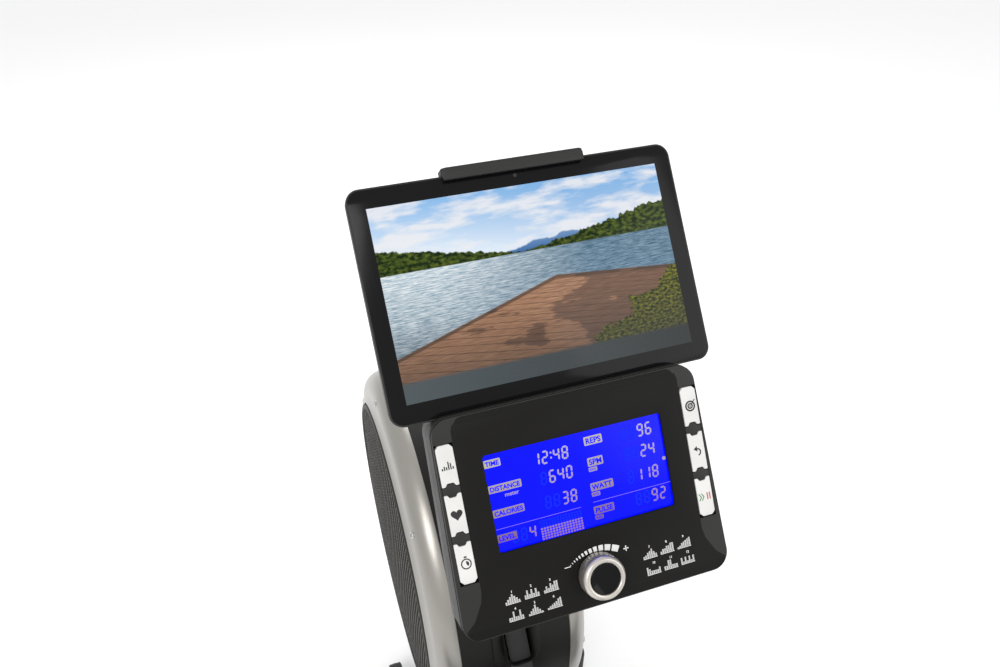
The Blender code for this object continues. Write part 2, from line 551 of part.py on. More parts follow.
def build_console():
    panel = empty("console_frame", LCD, CONSOLE_TILT)
    flat = (0, 0, 0)
    front = -0.0036
    face = outline("console_face", console_outline(0.0004), -front - 0.0001, "black_plastic",
                   (0, 0, front / 2), flat)
    case = outline("console_case", console_outline(), CONSOLE_DEPTH + front - GAP, "black_plastic",
                   (0, 0, (front - GAP - CONSOLE_DEPTH) / 2), flat)
    bevel(case, 0.004, 2)
    screen = (0.0680, 0.03545)
    room = box("lcd_window", (-screen[0], -screen[1], -0.0090), (screen[0], screen[1], 0.01), "rubber")
    glass = box("lcd_panel", (-screen[0] + GAP, -screen[1] + GAP, -0.0086),
                (screen[0] - GAP, screen[1] - GAP, -0.0006), "lcd_blue")
    knob_room = cylinder("knob_room", (0, KNOB_B, 0), 0.0036, 0.030, "rubber", flat, 20)
    under(panel, face, case, room, glass, knob_room)
    cut(face, room, knob_room)
    cut(case, room, knob_room)
    for side, words in ((-1, ("program_key", "pulse_key", "timer_key")),
                        (1, ("target_key", "return_key", "start_stop_key"))):
        x = (-0.0912, 0.0918)[side > 0]
        pocket = box("key_room", (x - 0.0066, -0.0490, -0.0080), (x + 0.0066, 0.0485, 0.01), "rubber")
        under(panel, pocket)
        cut(face, pocket)
        cut(case, pocket)
        for i, word in enumerate(words):
            high = 0.0480 - 0.0340 * i
            key = box(word, (x - 0.0061, high - 0.0285, -0.0050), (x + 0.0061, high, 0.0004),
                      "key_white", 0.0012)
            under(panel, key)
    ring = [(0.0012, 0), (0.0012, KNOB_R), (0.0115, KNOB_R), (0.0140, 0.0140), (0.0140, 0.0116),
            (0.0132, 0.0112), (0.0132, 0)]
    knob = turned("knob", ring, "alloy", (0, KNOB_B, 0), flat, 24)
    shaft = cylinder("knob_shaft", (0, KNOB_B, -0.0061), 0.0030, 0.0138, "steel", flat, 16)
    under(panel, knob, shaft)
    pivot_y = 0.5732 * (TILT_PIVOT.y - LCD.y) + 0.8194 * (TILT_PIVOT.z - LCD.z)
    pivot_n = -0.8194 * (TILT_PIVOT.y - LCD.y) + 0.5732 * (TILT_PIVOT.z - LCD.z)
    for side in (-1, 1):
        ear = box("console_ear", (side * 0.0230 - 0.0030, pivot_y - 0.011, pivot_n - 0.011),
                  (side * 0.0230 + 0.0030, pivot_y + 0.011, -CONSOLE_DEPTH + 0.002), "black_plastic")
        bore = cylinder("ear_bore", (side * 0.0230, pivot_y, pivot_n), 0.0045, 0.01, "black_plastic", sides=20)
        under(panel, ear, bore)
        join(case, ear)
        cut(case, bore)
    build_tablet(case, face)


def build_tablet(case, face):
    stand = empty("tablet_frame", TABLET, TABLET_TILT)
    wide, tall, thick = (TABLET_SIZE[0] / 2, TABLET_SIZE[1] / 2, TABLET_SIZE[2])
    r = 0.010
    points = (arc((wide - r, tall - r), r, 0, 90, 4) + arc((-wide + r, tall - r), r, 90, 180, 4)
              + arc((-wide + r, -tall + r), r, 180, 270, 4) + arc((wide - r, -tall + r), r, 270, 360, 4))
    tablet = outline("tablet", points, thick, "tablet_black", (0, 0, -thick / 2), (0, 0, 0))
    bevel(tablet, 0.0015, 2)
    room = box("tablet_room", (-0.14, -tall - GAP, -thick - GAP - 0.012), (0.14, 0.1, 0.0006), "rubber")
    rest = box("tablet_rest", (-0.050, -tall - GAP + 0.0006, -thick - GAP - 0.0056),
               (0.050, tall - 0.004, -thick - GAP), "black_plastic", 0.002)
    clamp = box("tablet_clamp", (-0.053, tall + GAP, -thick - 0.0010),
                (0.053, tall + 0.0080, 0.0050), "black_plastic")
    lip = box("clamp_lip", (-0.053, tall - 0.0040, 0.0006), (0.053, tall + 0.004, 0.0050), "black_plastic")
    arm = box("clamp_arm", (-0.030, tall - 0.060, -thick - 0.0115), (0.030, tall + 0.0070, -thick - 0.0066),
              "black_plastic")
    bridge = box("clamp_bridge", (-0.030, tall + 0.0010, -thick - 0.0100),
                 (0.030, tall + 0.0070, -thick), "black_plastic")
    under(stand, tablet, room, rest, clamp, lip, arm, bridge)
    join(clamp, lip, bridge, arm)
    cut(case, room)
    cut(face, room)


def build_mast():
    """The console's post: out of the housing, back and up to a knuckle behind the console."""
    path = [(0.700, 0.5735), (0.700, 0.640), (0.690, 0.700), (0.655, 0.745), (0.600, 0.775), (0.540, 0.797),
            (0.492, 0.8100)]
    upper = offset_path(path, 0.019)
    lower = offset_path(path, -0.019)
    mast = outline("console_mast", upper + lower[::-1], 0.038, "black_plastic")
    knuckle = cylinder("knuckle", TILT_PIVOT, 0.0105, 0.038, "black_plastic")
    neck = box("neck", (-0.017, TILT_PIVOT.y + 0.004, TILT_PIVOT.z - 0.012), (0.017, 0.500, TILT_PIVOT.z + 0.003),
               "black_plastic")
    join(mast, neck, knuckle)
    cut(mast, cylinder("tilt_bore", TILT_PIVOT, 0.0045, 0.1, "steel", sides=20))
    cylinder("tilt_pin", TILT_PIVOT, 0.004, 0.058, "steel", sides=20)


build_housing()
build_frame()
build_cradle()
build_drive()
build_rail()
build_seat()
build_pedals()
build_handle()
build_console()
build_mast()
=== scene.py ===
import json
import math
from math import cos, sin, pi, radians
import bmesh
import bpy
from mathutils import Matrix, Vector
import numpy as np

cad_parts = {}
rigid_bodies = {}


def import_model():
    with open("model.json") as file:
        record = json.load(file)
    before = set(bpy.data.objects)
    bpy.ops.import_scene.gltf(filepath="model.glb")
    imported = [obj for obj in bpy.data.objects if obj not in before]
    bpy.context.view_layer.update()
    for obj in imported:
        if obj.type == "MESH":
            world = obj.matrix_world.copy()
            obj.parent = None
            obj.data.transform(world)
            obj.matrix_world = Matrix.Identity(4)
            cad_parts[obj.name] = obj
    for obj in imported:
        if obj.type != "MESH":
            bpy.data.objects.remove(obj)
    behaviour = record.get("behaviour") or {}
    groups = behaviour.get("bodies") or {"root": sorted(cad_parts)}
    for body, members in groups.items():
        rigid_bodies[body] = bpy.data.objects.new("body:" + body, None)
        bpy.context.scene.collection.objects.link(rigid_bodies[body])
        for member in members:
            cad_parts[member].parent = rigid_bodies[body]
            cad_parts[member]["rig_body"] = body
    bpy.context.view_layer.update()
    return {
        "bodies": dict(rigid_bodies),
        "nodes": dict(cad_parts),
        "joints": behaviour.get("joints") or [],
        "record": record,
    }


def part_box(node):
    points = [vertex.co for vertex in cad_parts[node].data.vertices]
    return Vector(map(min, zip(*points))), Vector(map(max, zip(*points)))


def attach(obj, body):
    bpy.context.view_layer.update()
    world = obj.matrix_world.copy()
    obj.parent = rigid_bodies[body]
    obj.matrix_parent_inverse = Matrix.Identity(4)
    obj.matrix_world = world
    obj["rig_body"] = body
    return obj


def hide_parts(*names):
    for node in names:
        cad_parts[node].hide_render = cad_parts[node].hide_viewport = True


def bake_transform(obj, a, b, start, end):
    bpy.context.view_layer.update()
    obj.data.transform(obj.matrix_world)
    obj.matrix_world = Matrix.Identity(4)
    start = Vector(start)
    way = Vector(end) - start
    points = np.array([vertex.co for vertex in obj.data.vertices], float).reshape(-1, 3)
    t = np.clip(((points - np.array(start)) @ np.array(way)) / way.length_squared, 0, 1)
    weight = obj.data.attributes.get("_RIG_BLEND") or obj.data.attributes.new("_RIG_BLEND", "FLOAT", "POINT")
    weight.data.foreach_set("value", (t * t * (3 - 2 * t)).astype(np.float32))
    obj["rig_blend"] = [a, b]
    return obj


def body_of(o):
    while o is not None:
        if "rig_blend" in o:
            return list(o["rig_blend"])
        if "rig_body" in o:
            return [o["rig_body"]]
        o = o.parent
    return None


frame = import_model()
joints = {joint["name"]: joint for joint in frame["joints"]}
nodes = frame["nodes"]
print("frame loaded:", len(nodes), "nodes")


# ---- places read from the frame
def mid(node):
    low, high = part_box(node)
    return (low + high) / 2


def panelFrame(centre, up, out):
    side = up.cross(out).normalized()  # local X to the right, Y up the panel, Z out of it
    return Matrix.Translation(centre) @ Matrix((side, up, out)).transposed().to_4x4()


knobPoint = Vector(joints["knob_turn"]["pos_m"])
consoleOut = Vector(joints["knob_turn"]["axis"]).normalized()
consoleUp = consoleOut.cross(Vector((1, 0, 0))).normalized()
knobDrop = 0.067  # the knob sits this far below the middle of the display
consoleFrame = panelFrame(knobPoint + consoleUp * knobDrop, consoleUp, consoleOut)
tabletUp = Vector(joints["clamp_lift"]["axis"]).normalized()
tabletOut = Vector((1, 0, 0)).cross(tabletUp).normalized()
tabletThick = 0.0078
tabletFrame = panelFrame(mid("tablet") + tabletOut * tabletThick / 2, tabletUp, tabletOut)
discCentre = Vector((0, mid("left_shell").y, mid("left_shell").z))
discRadius = (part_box("left_shell")[1].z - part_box("left_shell")[0].z) / 2


# ---- shader maths: a wrapped socket takes + - * / and a few named steps
class Value:
    def __init__(self, finish, socket):
        self.finish = finish
        self.socket = socket

    def step(self, operation, *others, clamp=False):
        values = [self, *others]
        return self.finish.add("ShaderNodeMath", {"operation": operation, "use_clamp": clamp},
                               {i: v for i, v in enumerate(values)})

    def __add__(self, other):
        return self.step("ADD", other)

    def __radd__(self, other):
        return self.step("ADD", other)

    def __sub__(self, other):
        return self.step("SUBTRACT", other)

    def __rsub__(self, other):
        return self.finish.add("ShaderNodeMath", {"operation": "SUBTRACT"}, {0: other, 1: self})

    def __mul__(self, other):
        return self.step("MULTIPLY", other)

    def __rmul__(self, other):
        return self.step("MULTIPLY", other)

    def __truediv__(self, other):
        return self.step("DIVIDE", other)

    def power(self, other):
        return self.step("POWER", other)

    def sine(self):
        return self.step("SINE")

    def size(self):
        return self.step("ABSOLUTE")

    def fract(self):
        return self.step("FRACT")

    def larger(self, other):
        return self.step("MAXIMUM", other)

    def smaller(self, other):
        return self.step("MINIMUM", other)

    def above(self, edge, soft=0.01):
        return ((self - edge) / soft + 0.5).step("MAXIMUM", 0.0).step("MINIMUM", 1.0)


class Finish:
    def __init__(self, name, colour, roughness=0.5, metallic=0.0, **fixed):
        self.material = bpy.data.materials.new(name)
        self.material.use_nodes = True
        self.tree = self.material.node_tree
        self.shader = self.tree.nodes["Principled BSDF"]
        self.shader.inputs["Base Color"].default_value = (*colour, 1)
        self.shader.inputs["Roughness"].default_value = roughness
        self.shader.inputs["Metallic"].default_value = metallic
        for key, amount in fixed.items():
            self.shader.inputs[key.replace("_", " ")].default_value = amount
        self.colour = colour
        self.place = None

    def add(self, kind, settings=None, inputs=None, output=0):
        node = self.tree.nodes.new(kind)
        for key, setting in (settings or {}).items():
            setattr(node, key, setting)
        for key, value in (inputs or {}).items():
            if isinstance(value, Value):
                self.tree.links.new(value.socket, node.inputs[key])
            elif value is not None:
                node.inputs[key].default_value = value
        return Value(self, node.outputs[output])

    def where(self):
        if self.place is None:
            self.place = self.add("ShaderNodeTexCoord", output="Object")
        return self.place

    def axes(self, vector=None):
        split = self.add("ShaderNodeSeparateXYZ", {}, {0: vector or self.where()})
        outputs = split.socket.node.outputs
        return [Value(self, outputs[i]) for i in range(3)]

    def noise(self, scale, detail=3.0, stretch=None, vector=None):
        vector = vector or self.where()
        if stretch:
            vector = self.add("ShaderNodeMapping", {}, {"Vector": vector, "Scale": stretch})
        return self.add("ShaderNodeTexNoise", {}, {"Vector": vector, "Scale": scale, "Detail": detail},
                        "Fac")

    def mix(self, amount, first, second):
        made = self.add("ShaderNodeMix", {"data_type": "RGBA"}, {}, 2)
        node = made.socket.node
        for index, value in ((0, amount), (6, first), (7, second)):
            if isinstance(value, Value):
                self.tree.links.new(value.socket, node.inputs[index])
            elif index == 0:
                node.inputs[0].default_value = value
            else:
                node.inputs[index].default_value = (*value, 1)
        return Value(self, node.outputs[2])

    def feed(self, name, value):
        self.tree.links.new(value.socket, self.shader.inputs[name])
        return self

    def relief(self, height, depth, strength=0.5):
        return self.feed("Normal", self.add("ShaderNodeBump", {}, {
            "Height": height, "Distance": depth, "Strength": strength}))

    def vary(self, amount, scale):
        darker = tuple(c * (1 - amount) for c in self.colour)
        lighter = tuple(min(1, c * (1 + amount)) for c in self.colour)
        return self.feed("Base Color", self.mix(self.noise(scale, 4), darker, lighter))

    def scuff(self, low, high, scale):
        return self.feed("Roughness", self.noise(scale, 5) * (high - low) + low)


def grained(name, colour, low, high, grain=1500, depth=0.0002, strength=0.35, **fixed):
    finish = Finish(name, colour, (low + high) / 2, **fixed)
    finish.vary(0.18, 30)
    finish.scuff(low, high, 60)
    return finish.relief(finish.noise(grain, 2), depth, strength)


def silverPaint():
    look = {"colour": (0.285, 0.272, 0.250), "roughness": 0.38, "metallic": 0.72, "flake": 3200}
    finish = Finish("silverPaint", look["colour"], look["roughness"], look["metallic"],
                    Coat_Weight=0.25, Coat_Roughness=0.25)
    flake = finish.noise(look["flake"], 2)
    finish.feed("Base Color", finish.mix(flake, tuple(c * 0.88 for c in look["colour"]),
                                         tuple(c * 1.12 for c in look["colour"])))
    finish.feed("Roughness", finish.noise(18, 4) * 0.10 + 0.29)
    return finish.relief(flake, 0.00003, 0.12)


def brushed(name, colour, roughness, stretch, grain=900):
    finish = Finish(name, colour, roughness, 1.0)
    lines = finish.noise(grain, 4, stretch)
    finish.feed("Roughness", lines * 0.22 + (roughness - 0.08))
    finish.feed("Base Color", finish.mix(lines, tuple(c * 0.85 for c in colour), colour))
    return finish.relief(lines, 0.00003, 0.2)


def turnedMetal(name, colour, roughness, centre, axis=0):
    finish = Finish(name, colour, roughness, 1.0)
    moved = finish.add("ShaderNodeMapping", {},
                       {"Vector": finish.where(), "Location": tuple(-c for c in centre)})
    axes = finish.axes(moved)
    a, b = [axes[i] for i in range(3) if i != axis]
    rings = ((a * a + b * b).power(0.5) * 6000).sine() * 0.5 + 0.5
    finish.feed("Roughness", rings * 0.12 + roughness - 0.05)
    return finish.relief(rings, 0.00002, 0.15)


def webbing(name, colour):
    finish = Finish(name, colour, 0.85, Sheen_Weight=0.25)
    x, y, z = finish.axes()
    weave = ((x * 2600).sine() * ((y + z) * 2600).sine()) * 0.5 + 0.5
    finish.feed("Base Color", finish.mix(weave, tuple(c * 0.5 for c in colour),
                                         tuple(c * 1.7 for c in colour)))
    return finish.relief(weave, 0.0003, 0.6)


def rubbery(name, colour):
    return grained(name, colour, 0.65, 0.85, 900, 0.0003, 0.4)


def lit(name, colour, glow, roughness=0.4):
    finish = Finish(name, tuple(c * 0.2 for c in colour), roughness, Emission_Strength=glow,
                    Specular_IOR_Level=0.1)
    finish.shader.inputs["Emission Color"].default_value = (*colour, 1)
    finish.scuff(roughness - 0.05, roughness + 0.05, 40)
    return finish


def lcdFade(name, high, low):
    # warmer and brighter towards the top of the display
    finish = Finish(name, (0.1, 0.1, 0.1), 0.4, Emission_Strength=0.9, Specular_IOR_Level=0.1)
    unused, y, z = finish.axes()
    centre = consoleFrame.translation
    up = (y - centre.y) * panelUp.y + (z - centre.z) * panelUp.z
    colour = finish.mix((up + 0.036) * 13.9, low, high)
    finish.feed("Base Color", finish.mix(0.8, colour, (0, 0, 0)))
    return finish.feed("Emission Color", colour)


panelUp = consoleFrame.to_3x3().col[1]
finishes = {
    "silver": silverPaint(),
    "black": grained("blackMoulded", (0.016, 0.0155, 0.015), 0.42, 0.58),
    "band": grained("bandBlack", (0.0060, 0.0055, 0.0050), 0.42, 0.55, 2200, 0.0001, 0.25,
                    Specular_IOR_Level=0.22),
    "face": grained("faceBlack", (0.0046, 0.0042, 0.0038), 0.46, 0.56, 3000, 0.00004, 0.18,
                    Specular_IOR_Level=0.13),
    "side": grained("sideCharcoal", (0.0125, 0.0120, 0.0112), 0.46, 0.58, 2400, 0.00010, 0.4,
                    Specular_IOR_Level=0.32),
    "vent": grained("ventGrey", (0.060, 0.055, 0.047), 0.50, 0.62, 1800, 0.00003, 0.1,
                    Specular_IOR_Level=0.3),
    # painted shade: a near-black, dull finish for hole walls, slit openings, the slot throat and the sheet
    # behind each vent lattice, standing in for the shade inside them
    "dark": grained("paintedInnerShade", (0.0035, 0.0033, 0.0030), 0.7, 0.9, 900, 0.0002, 0.3,
                    Specular_IOR_Level=0.1),
    "paint": grained("framePowder", (0.022, 0.022, 0.023), 0.30, 0.44, 1200, 0.00015, 0.35, Metallic=0.2),
    "keyWhite": grained("keyWhite", (0.56, 0.555, 0.54), 0.42, 0.55, 2600, 0.00003, 0.2),
    "print": grained("printWhite", (0.62, 0.62, 0.61), 0.5, 0.6, 2600, 0.00002, 0.1),
    "icon": grained("iconDark", (0.006, 0.006, 0.007), 0.5, 0.6, 2600, 0.00002, 0.1),
    "iconGreen": grained("iconGreen", (0.02, 0.17, 0.03), 0.5, 0.6, 2600, 0.00002, 0.1),
    "iconRed": grained("iconRed", (0.38, 0.02, 0.02), 0.5, 0.6, 2600, 0.00002, 0.1),
    "rubber": rubbery("rubberBlack", (0.018, 0.018, 0.018)),
    "foam": rubbery("foamGrip", (0.016, 0.016, 0.017)),
    "steel": brushed("platedSteel", (0.55, 0.55, 0.55), 0.30, (1, 60, 60)),
    "alloy": brushed("railAlloy", (0.68, 0.68, 0.69), 0.32, (40, 1, 40)),
    "iron": turnedMetal("turnedIron", (0.20, 0.20, 0.205), 0.38, joints["flywheel_spin"]["pos_m"]),
    "strap": webbing("strapWebbing", (0.0062, 0.0060, 0.0060)),
    "blackGloss": Finish("blackGlass", (0.004, 0.004, 0.0045), 0.10,
                         Specular_IOR_Level=0.12).scuff(0.08, 0.14, 14),
    "lcd": lit("lcdBlue", (0.0, 0.0030, 0.98), 1.0, 0.25),
    "lcdInk": lcdFade("lcdInk", (0.46, 0.42, 0.46), (0.26, 0.14, 0.34)),
    "lcdChip": lcdFade("lcdChip", (0.50, 0.47, 0.33), (0.15, 0.055, 0.20)),
    "lcdGhost": lit("lcdGhost", (0.0, 0.016, 1.0), 1.0, 0.4),
}
print("finishes made:", len(finishes))


# ---- mesh helpers
def keep(name, mesh, finish, body, matrix=None, replaced=(), smooth=40):
    if matrix is not None:
        mesh.transform(matrix)
    piece = bpy.data.objects.new(name, mesh)
    bpy.context.scene.collection.objects.link(piece)
    if finish is not None:
        mesh.materials.clear()
        mesh.materials.append(finishes[finish].material)
    if smooth:
        mesh.shade_smooth()
        mesh.set_sharp_from_angle(angle=radians(smooth))
    if body:
        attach(piece, body)
    if replaced:
        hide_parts(*replaced)
    return piece


def baked(piece):
    bpy.context.view_layer.update()
    made = bpy.data.meshes.new_from_object(piece.evaluated_get(bpy.context.evaluated_depsgraph_get()))
    bpy.data.objects.remove(piece)
    return made


def draft(mesh):
    piece = bpy.data.objects.new("draft", mesh)
    bpy.context.scene.collection.objects.link(piece)
    return piece


def tidyMesh(mesh, distance=0.000005):
    work = bmesh.new()
    work.from_mesh(mesh)
    bmesh.ops.remove_doubles(work, verts=work.verts, dist=distance)
    bmesh.ops.recalc_face_normals(work, faces=work.faces)
    work.to_mesh(mesh)
    work.free()
    return mesh


def arc(centre, radius, start, end, steps):
    return [(centre[0] + radius * cos(radians(start + (end - start) * i / steps)),
             centre[1] + radius * sin(radians(start + (end - start) * i / steps))) for i in range(steps + 1)]


def rounded(halfX, halfY, radius, centre=(0, 0), steps=6):
    x, y = halfX - radius, halfY - radius
    corners = ((x, y), (-x, y), (-x, -y), (x, -y))
    made = []
    for i, corner in enumerate(corners):
        made += arc((centre[0] + corner[0], centre[1] + corner[1]), radius, 90 * i, 90 * i + 90, steps)
    return made


def flatShape(points, low, high, holes=(), bevel=0.0, segments=2, angle=30):
    curve = bpy.data.curves.new("outline", "CURVE")
    curve.dimensions = "2D"
    curve.fill_mode = "BOTH"
    curve.extrude = (high - low) / 2
    for loop in (points, *holes):
        spline = curve.splines.new("POLY")
        spline.points.add(len(loop) - 1)
        for target, (a, b) in zip(spline.points, loop):
            target.co = (a, b, 0, 1)
        spline.use_cyclic_u = True
    mesh = tidyMesh(baked(draft(curve)))
    mesh.transform(Matrix.Translation((0, 0, (low + high) / 2)))
    return bevelled(mesh, bevel, segments, angle) if bevel else mesh


def bevelled(mesh, width, segments=2, angle=30):
    piece = draft(mesh)
    edges = piece.modifiers.new("edges", "BEVEL")
    edges.width = width
    edges.segments = segments
    edges.angle_limit = radians(angle)
    edges.use_clamp_overlap = True
    return baked(piece)


def cutAway(mesh, *cutters, operation="DIFFERENCE"):
    for cutter in cutters:
        piece = draft(mesh)
        tool = draft(cutter)
        step = piece.modifiers.new("cut", "BOOLEAN")
        step.operation = operation
        step.object = tool
        step.solver = "EXACT"
        mesh = baked(piece)
        bpy.data.objects.remove(tool)
    return mesh


def block(low, high, bevel=0.0, segments=3):
    work = bmesh.new()
    bmesh.ops.create_cube(work, size=1.0)
    size = Vector(high) - Vector(low)
    work.transform(Matrix.Translation((Vector(high) + Vector(low)) / 2) @ Matrix.Diagonal((*size, 1)))
    mesh = bpy.data.meshes.new("block")
    work.to_mesh(mesh)
    work.free()
    return bevelled(mesh, bevel, segments) if bevel else mesh


def lathe(profile, steps=96, matrix=None):
    # (along, radius) points turned about local X
    work = bmesh.new()
    rings = []
    for i in range(steps):
        turn = radians(360.0 * i / steps)
        rings.append([work.verts.new((a, r * cos(turn), r * sin(turn))) for a, r in profile])
    for i in range(steps):
        first, second = rings[i], rings[(i + 1) % steps]
        for j in range(len(profile) - 1):
            work.faces.new((first[j], first[j + 1], second[j + 1], second[j]))
    bmesh.ops.remove_doubles(work, verts=work.verts, dist=0.000002)
    bmesh.ops.recalc_face_normals(work, faces=work.faces)
    mesh = bpy.data.meshes.new("lathe")
    work.to_mesh(mesh)
    work.free()
    if matrix is not None:
        mesh.transform(matrix)
    return mesh


def sweep(path, section):
    # a closed section carried along a path in 3-D, flat caps at the ends
    work = bmesh.new()
    rings = []
    side = Vector((1, 0, 0))
    for i, point in enumerate(path):
        along = (Vector(path[min(i + 1, len(path) - 1)]) - Vector(path[max(i - 1, 0)])).normalized()
        up = along.cross(side).normalized()
        rings.append([work.verts.new(Vector(point) + side * a + up * b) for a, b in section])
    count = len(section)
    for first, second in zip(rings, rings[1:]):
        for j in range(count):
            work.faces.new((first[j], first[(j + 1) % count], second[(j + 1) % count], second[j]))
    work.faces.new(rings[0])
    work.faces.new(rings[-1])
    bmesh.ops.recalc_face_normals(work, faces=work.faces)
    mesh = bpy.data.meshes.new("sweep")
    work.to_mesh(mesh)
    work.free()
    return mesh


def merged(meshes):
    work = bmesh.new()
    for mesh in meshes:
        work.from_mesh(mesh)
    made = bpy.data.meshes.new("merged")
    work.to_mesh(made)
    work.free()
    return made


def curveThrough(points, steps):
    # Catmull-Rom through the points
    pts = [Vector(p) for p in points]
    pts = [pts[0] * 2 - pts[1]] + pts + [pts[-1] * 2 - pts[-2]]
    made = []
    for i in range(1, len(pts) - 2):
        p0, p1, p2, p3 = pts[i - 1:i + 3]
        for k in range(steps):
            t = k / steps
            made.append(0.5 * ((2 * p1) + (p2 - p0) * t + (2 * p0 - 5 * p1 + 4 * p2 - p3) * t * t
                               + (3 * p1 - p0 - 3 * p2 + p3) * t ** 3))
    return made + [pts[-2]]


alongX = Matrix.Rotation(radians(90), 4, "Z") @ Matrix.Rotation(radians(90), 4,
                                                                "X")  # flat shape into YZ, thick along X
discFrame = Matrix.Translation(discCentre)


# ---- Geometry Nodes: small trees with named inputs, each ending in real geometry
class Tree:
    def __init__(self, name, inputs):
        self.group = bpy.data.node_groups.new(name, "GeometryNodeTree")
        self.group.interface.new_socket("Geometry", in_out="INPUT", socket_type="NodeSocketGeometry")
        self.group.interface.new_socket("Geometry", in_out="OUTPUT", socket_type="NodeSocketGeometry")
        self.names = {}
        for label, (kind, value) in inputs.items():
            socket = self.group.interface.new_socket(label, in_out="INPUT", socket_type=kind)
            socket.default_value = value
            self.names[label] = socket.identifier
        self.input = self.group.nodes.new("NodeGroupInput")
        self.output = self.group.nodes.new("NodeGroupOutput")

    def add(self, kind, settings=None, inputs=None):
        node = self.group.nodes.new(kind)
        for key, setting in (settings or {}).items():
            setattr(node, key, setting)
        for key, value in (inputs or {}).items():
            if isinstance(value, bpy.types.NodeSocket):
                self.group.links.new(value, node.inputs[key])
            else:
                node.inputs[key].default_value = value
        return node

    def math(self, operation, first, second=0.0):
        return self.add("ShaderNodeMath", {"operation": operation}, {0: first, 1: second}).outputs[0]

    def given(self, label):
        return self.input.outputs[label]

    def close(self, geometry, finish):
        real = self.add("GeometryNodeRealizeInstances", {}, {0: geometry})
        dressed = self.add("GeometryNodeSetMaterial", {},
                           {0: real.outputs[0], "Material": finishes[finish].material})
        self.group.links.new(dressed.outputs[0], self.output.inputs[0])
        return self

    def run(self, mesh, **values):
        piece = draft(mesh)
        step = piece.modifiers.new("tree", "NODES")
        step.node_group = self.group
        for label, value in values.items():
            step[self.names[label]] = value
        return baked(piece)


def latticeTree():
    # a diamond lattice with an opening in every cell, clipped to a disc and bulged
    tree = Tree("ventLattice", {
        "Radius": ("NodeSocketFloat", 0.18), "Columns": ("NodeSocketInt", 60),
                                "Bar": ("NodeSocketFloat", 0.6),
        "Bulge": ("NodeSocketFloat", 0.01), "Stretch": ("NodeSocketFloat", 0.7)})
    radius = tree.given("Radius")
    wide = tree.math("MULTIPLY", radius, 3.0)
    grid = tree.add("GeometryNodeMeshGrid", {}, {
        "Size X": wide, "Size Y": wide, "Vertices X": tree.given("Columns"),
                                                 "Vertices Y": tree.given("Columns")})
    turn = tree.add("GeometryNodeTransform", {}, {0: grid.outputs[0], "Rotation": (0, 0, radians(45))})
    size = tree.add("ShaderNodeCombineXYZ", {}, {0: 1.0, 1: tree.given("Stretch"), 2: 1.0})
    squash = tree.add("GeometryNodeTransform", {}, {0: turn.outputs[0], "Scale": size.outputs[0]})
    place = tree.add("GeometryNodeInputPosition").outputs[0]
    reach = tree.add("ShaderNodeVectorMath", {"operation": "LENGTH"}, {0: place}).outputs["Value"]
    outside = tree.add("FunctionNodeCompare", {"operation": "GREATER_THAN"},
                       {0: reach, 1: radius}).outputs[0]
    disc = tree.add("GeometryNodeDeleteGeometry", {"domain": "FACE"},
                    {0: squash.outputs[0], "Selection": outside})
    inset = tree.add("GeometryNodeExtrudeMesh", {"mode": "FACES"}, {
        "Mesh": disc.outputs[0], "Offset Scale": 0.0, "Individual": True})
    shrink = tree.add("GeometryNodeScaleElements", {"domain": "FACE"}, {
        "Geometry": inset.outputs["Mesh"], "Selection": inset.outputs["Top"], "Scale": tree.given("Bar")})
    pierced = tree.add("GeometryNodeDeleteGeometry", {"domain": "FACE"}, {
        0: shrink.outputs[0], "Selection": inset.outputs["Top"]})
    welded = tree.add("GeometryNodeMergeByDistance", {}, {0: pierced.outputs[0], "Distance": 0.00005})
    share = tree.math("DIVIDE", reach, radius)
    fall = tree.math("MULTIPLY", tree.math("MULTIPLY", share, share), tree.given("Bulge"))
    lift = tree.add("ShaderNodeCombineXYZ", {},
                    {2: tree.math("SUBTRACT", tree.given("Bulge"), fall)}).outputs[0]
    domed = tree.add("GeometryNodeSetPosition", {}, {0: welded.outputs[0], "Offset": lift})
    return tree.close(domed.outputs[0], "vent")


def scatterTree(name, finish):
    # copies the carried mesh of one object onto every point of the input, turned to the point's normal
    tree = Tree(name, {"Shape": ("NodeSocketObject", None), "Size": ("NodeSocketFloat", 1.0)})
    shape = tree.add("GeometryNodeObjectInfo", {}, {0: tree.given("Shape")})
    normal = tree.add("GeometryNodeInputNamedAttribute", {"data_type": "FLOAT_VECTOR"},
                      {0: "facing"}).outputs[0]
    turn = tree.add("FunctionNodeAlignEulerToVector", {"axis": "Z"}, {"Vector": normal}).outputs[0]
    copies = tree.add("GeometryNodeInstanceOnPoints", {}, {
        "Points": tree.input.outputs[0], "Instance": shape.outputs["Geometry"], "Rotation": turn,
        "Scale": tree.given("Size")})
    return tree.close(copies.outputs[0], finish)


def scattered(tree, shape, spots):
    # spots are (place, facing) pairs
    mesh = bpy.data.meshes.new("spots")
    mesh.from_pydata([tuple(place) for place, facing in spots], [], [])
    facing = mesh.attributes.new("facing", "FLOAT_VECTOR", "POINT")
    facing.data.foreach_set("vector", [c for place, direction in spots for c in direction])
    pattern = draft(shape)
    made = tree.run(mesh, Shape=pattern)
    bpy.data.objects.remove(pattern)
    return made


lattice = latticeTree()
screwTree = scatterTree("screws", "steel")


def screwHead(radius=0.0042, height=0.0022):
    profile = [(0.0, 0.0), (0.0, radius), (height * 0.5, radius), (height, radius * 0.7), (height, 0.0)]
    head = lathe(profile, 20)
    head.transform(Matrix.Rotation(radians(-90), 4, "Y"))
    socket = block((-radius * 0.62, -radius * 0.13, height * 0.45),
                   (radius * 0.62, radius * 0.13, height * 1.5))
    other = socket.copy()
    other.transform(Matrix.Rotation(radians(90), 4, "Z"))
    return cutAway(head, socket, other)


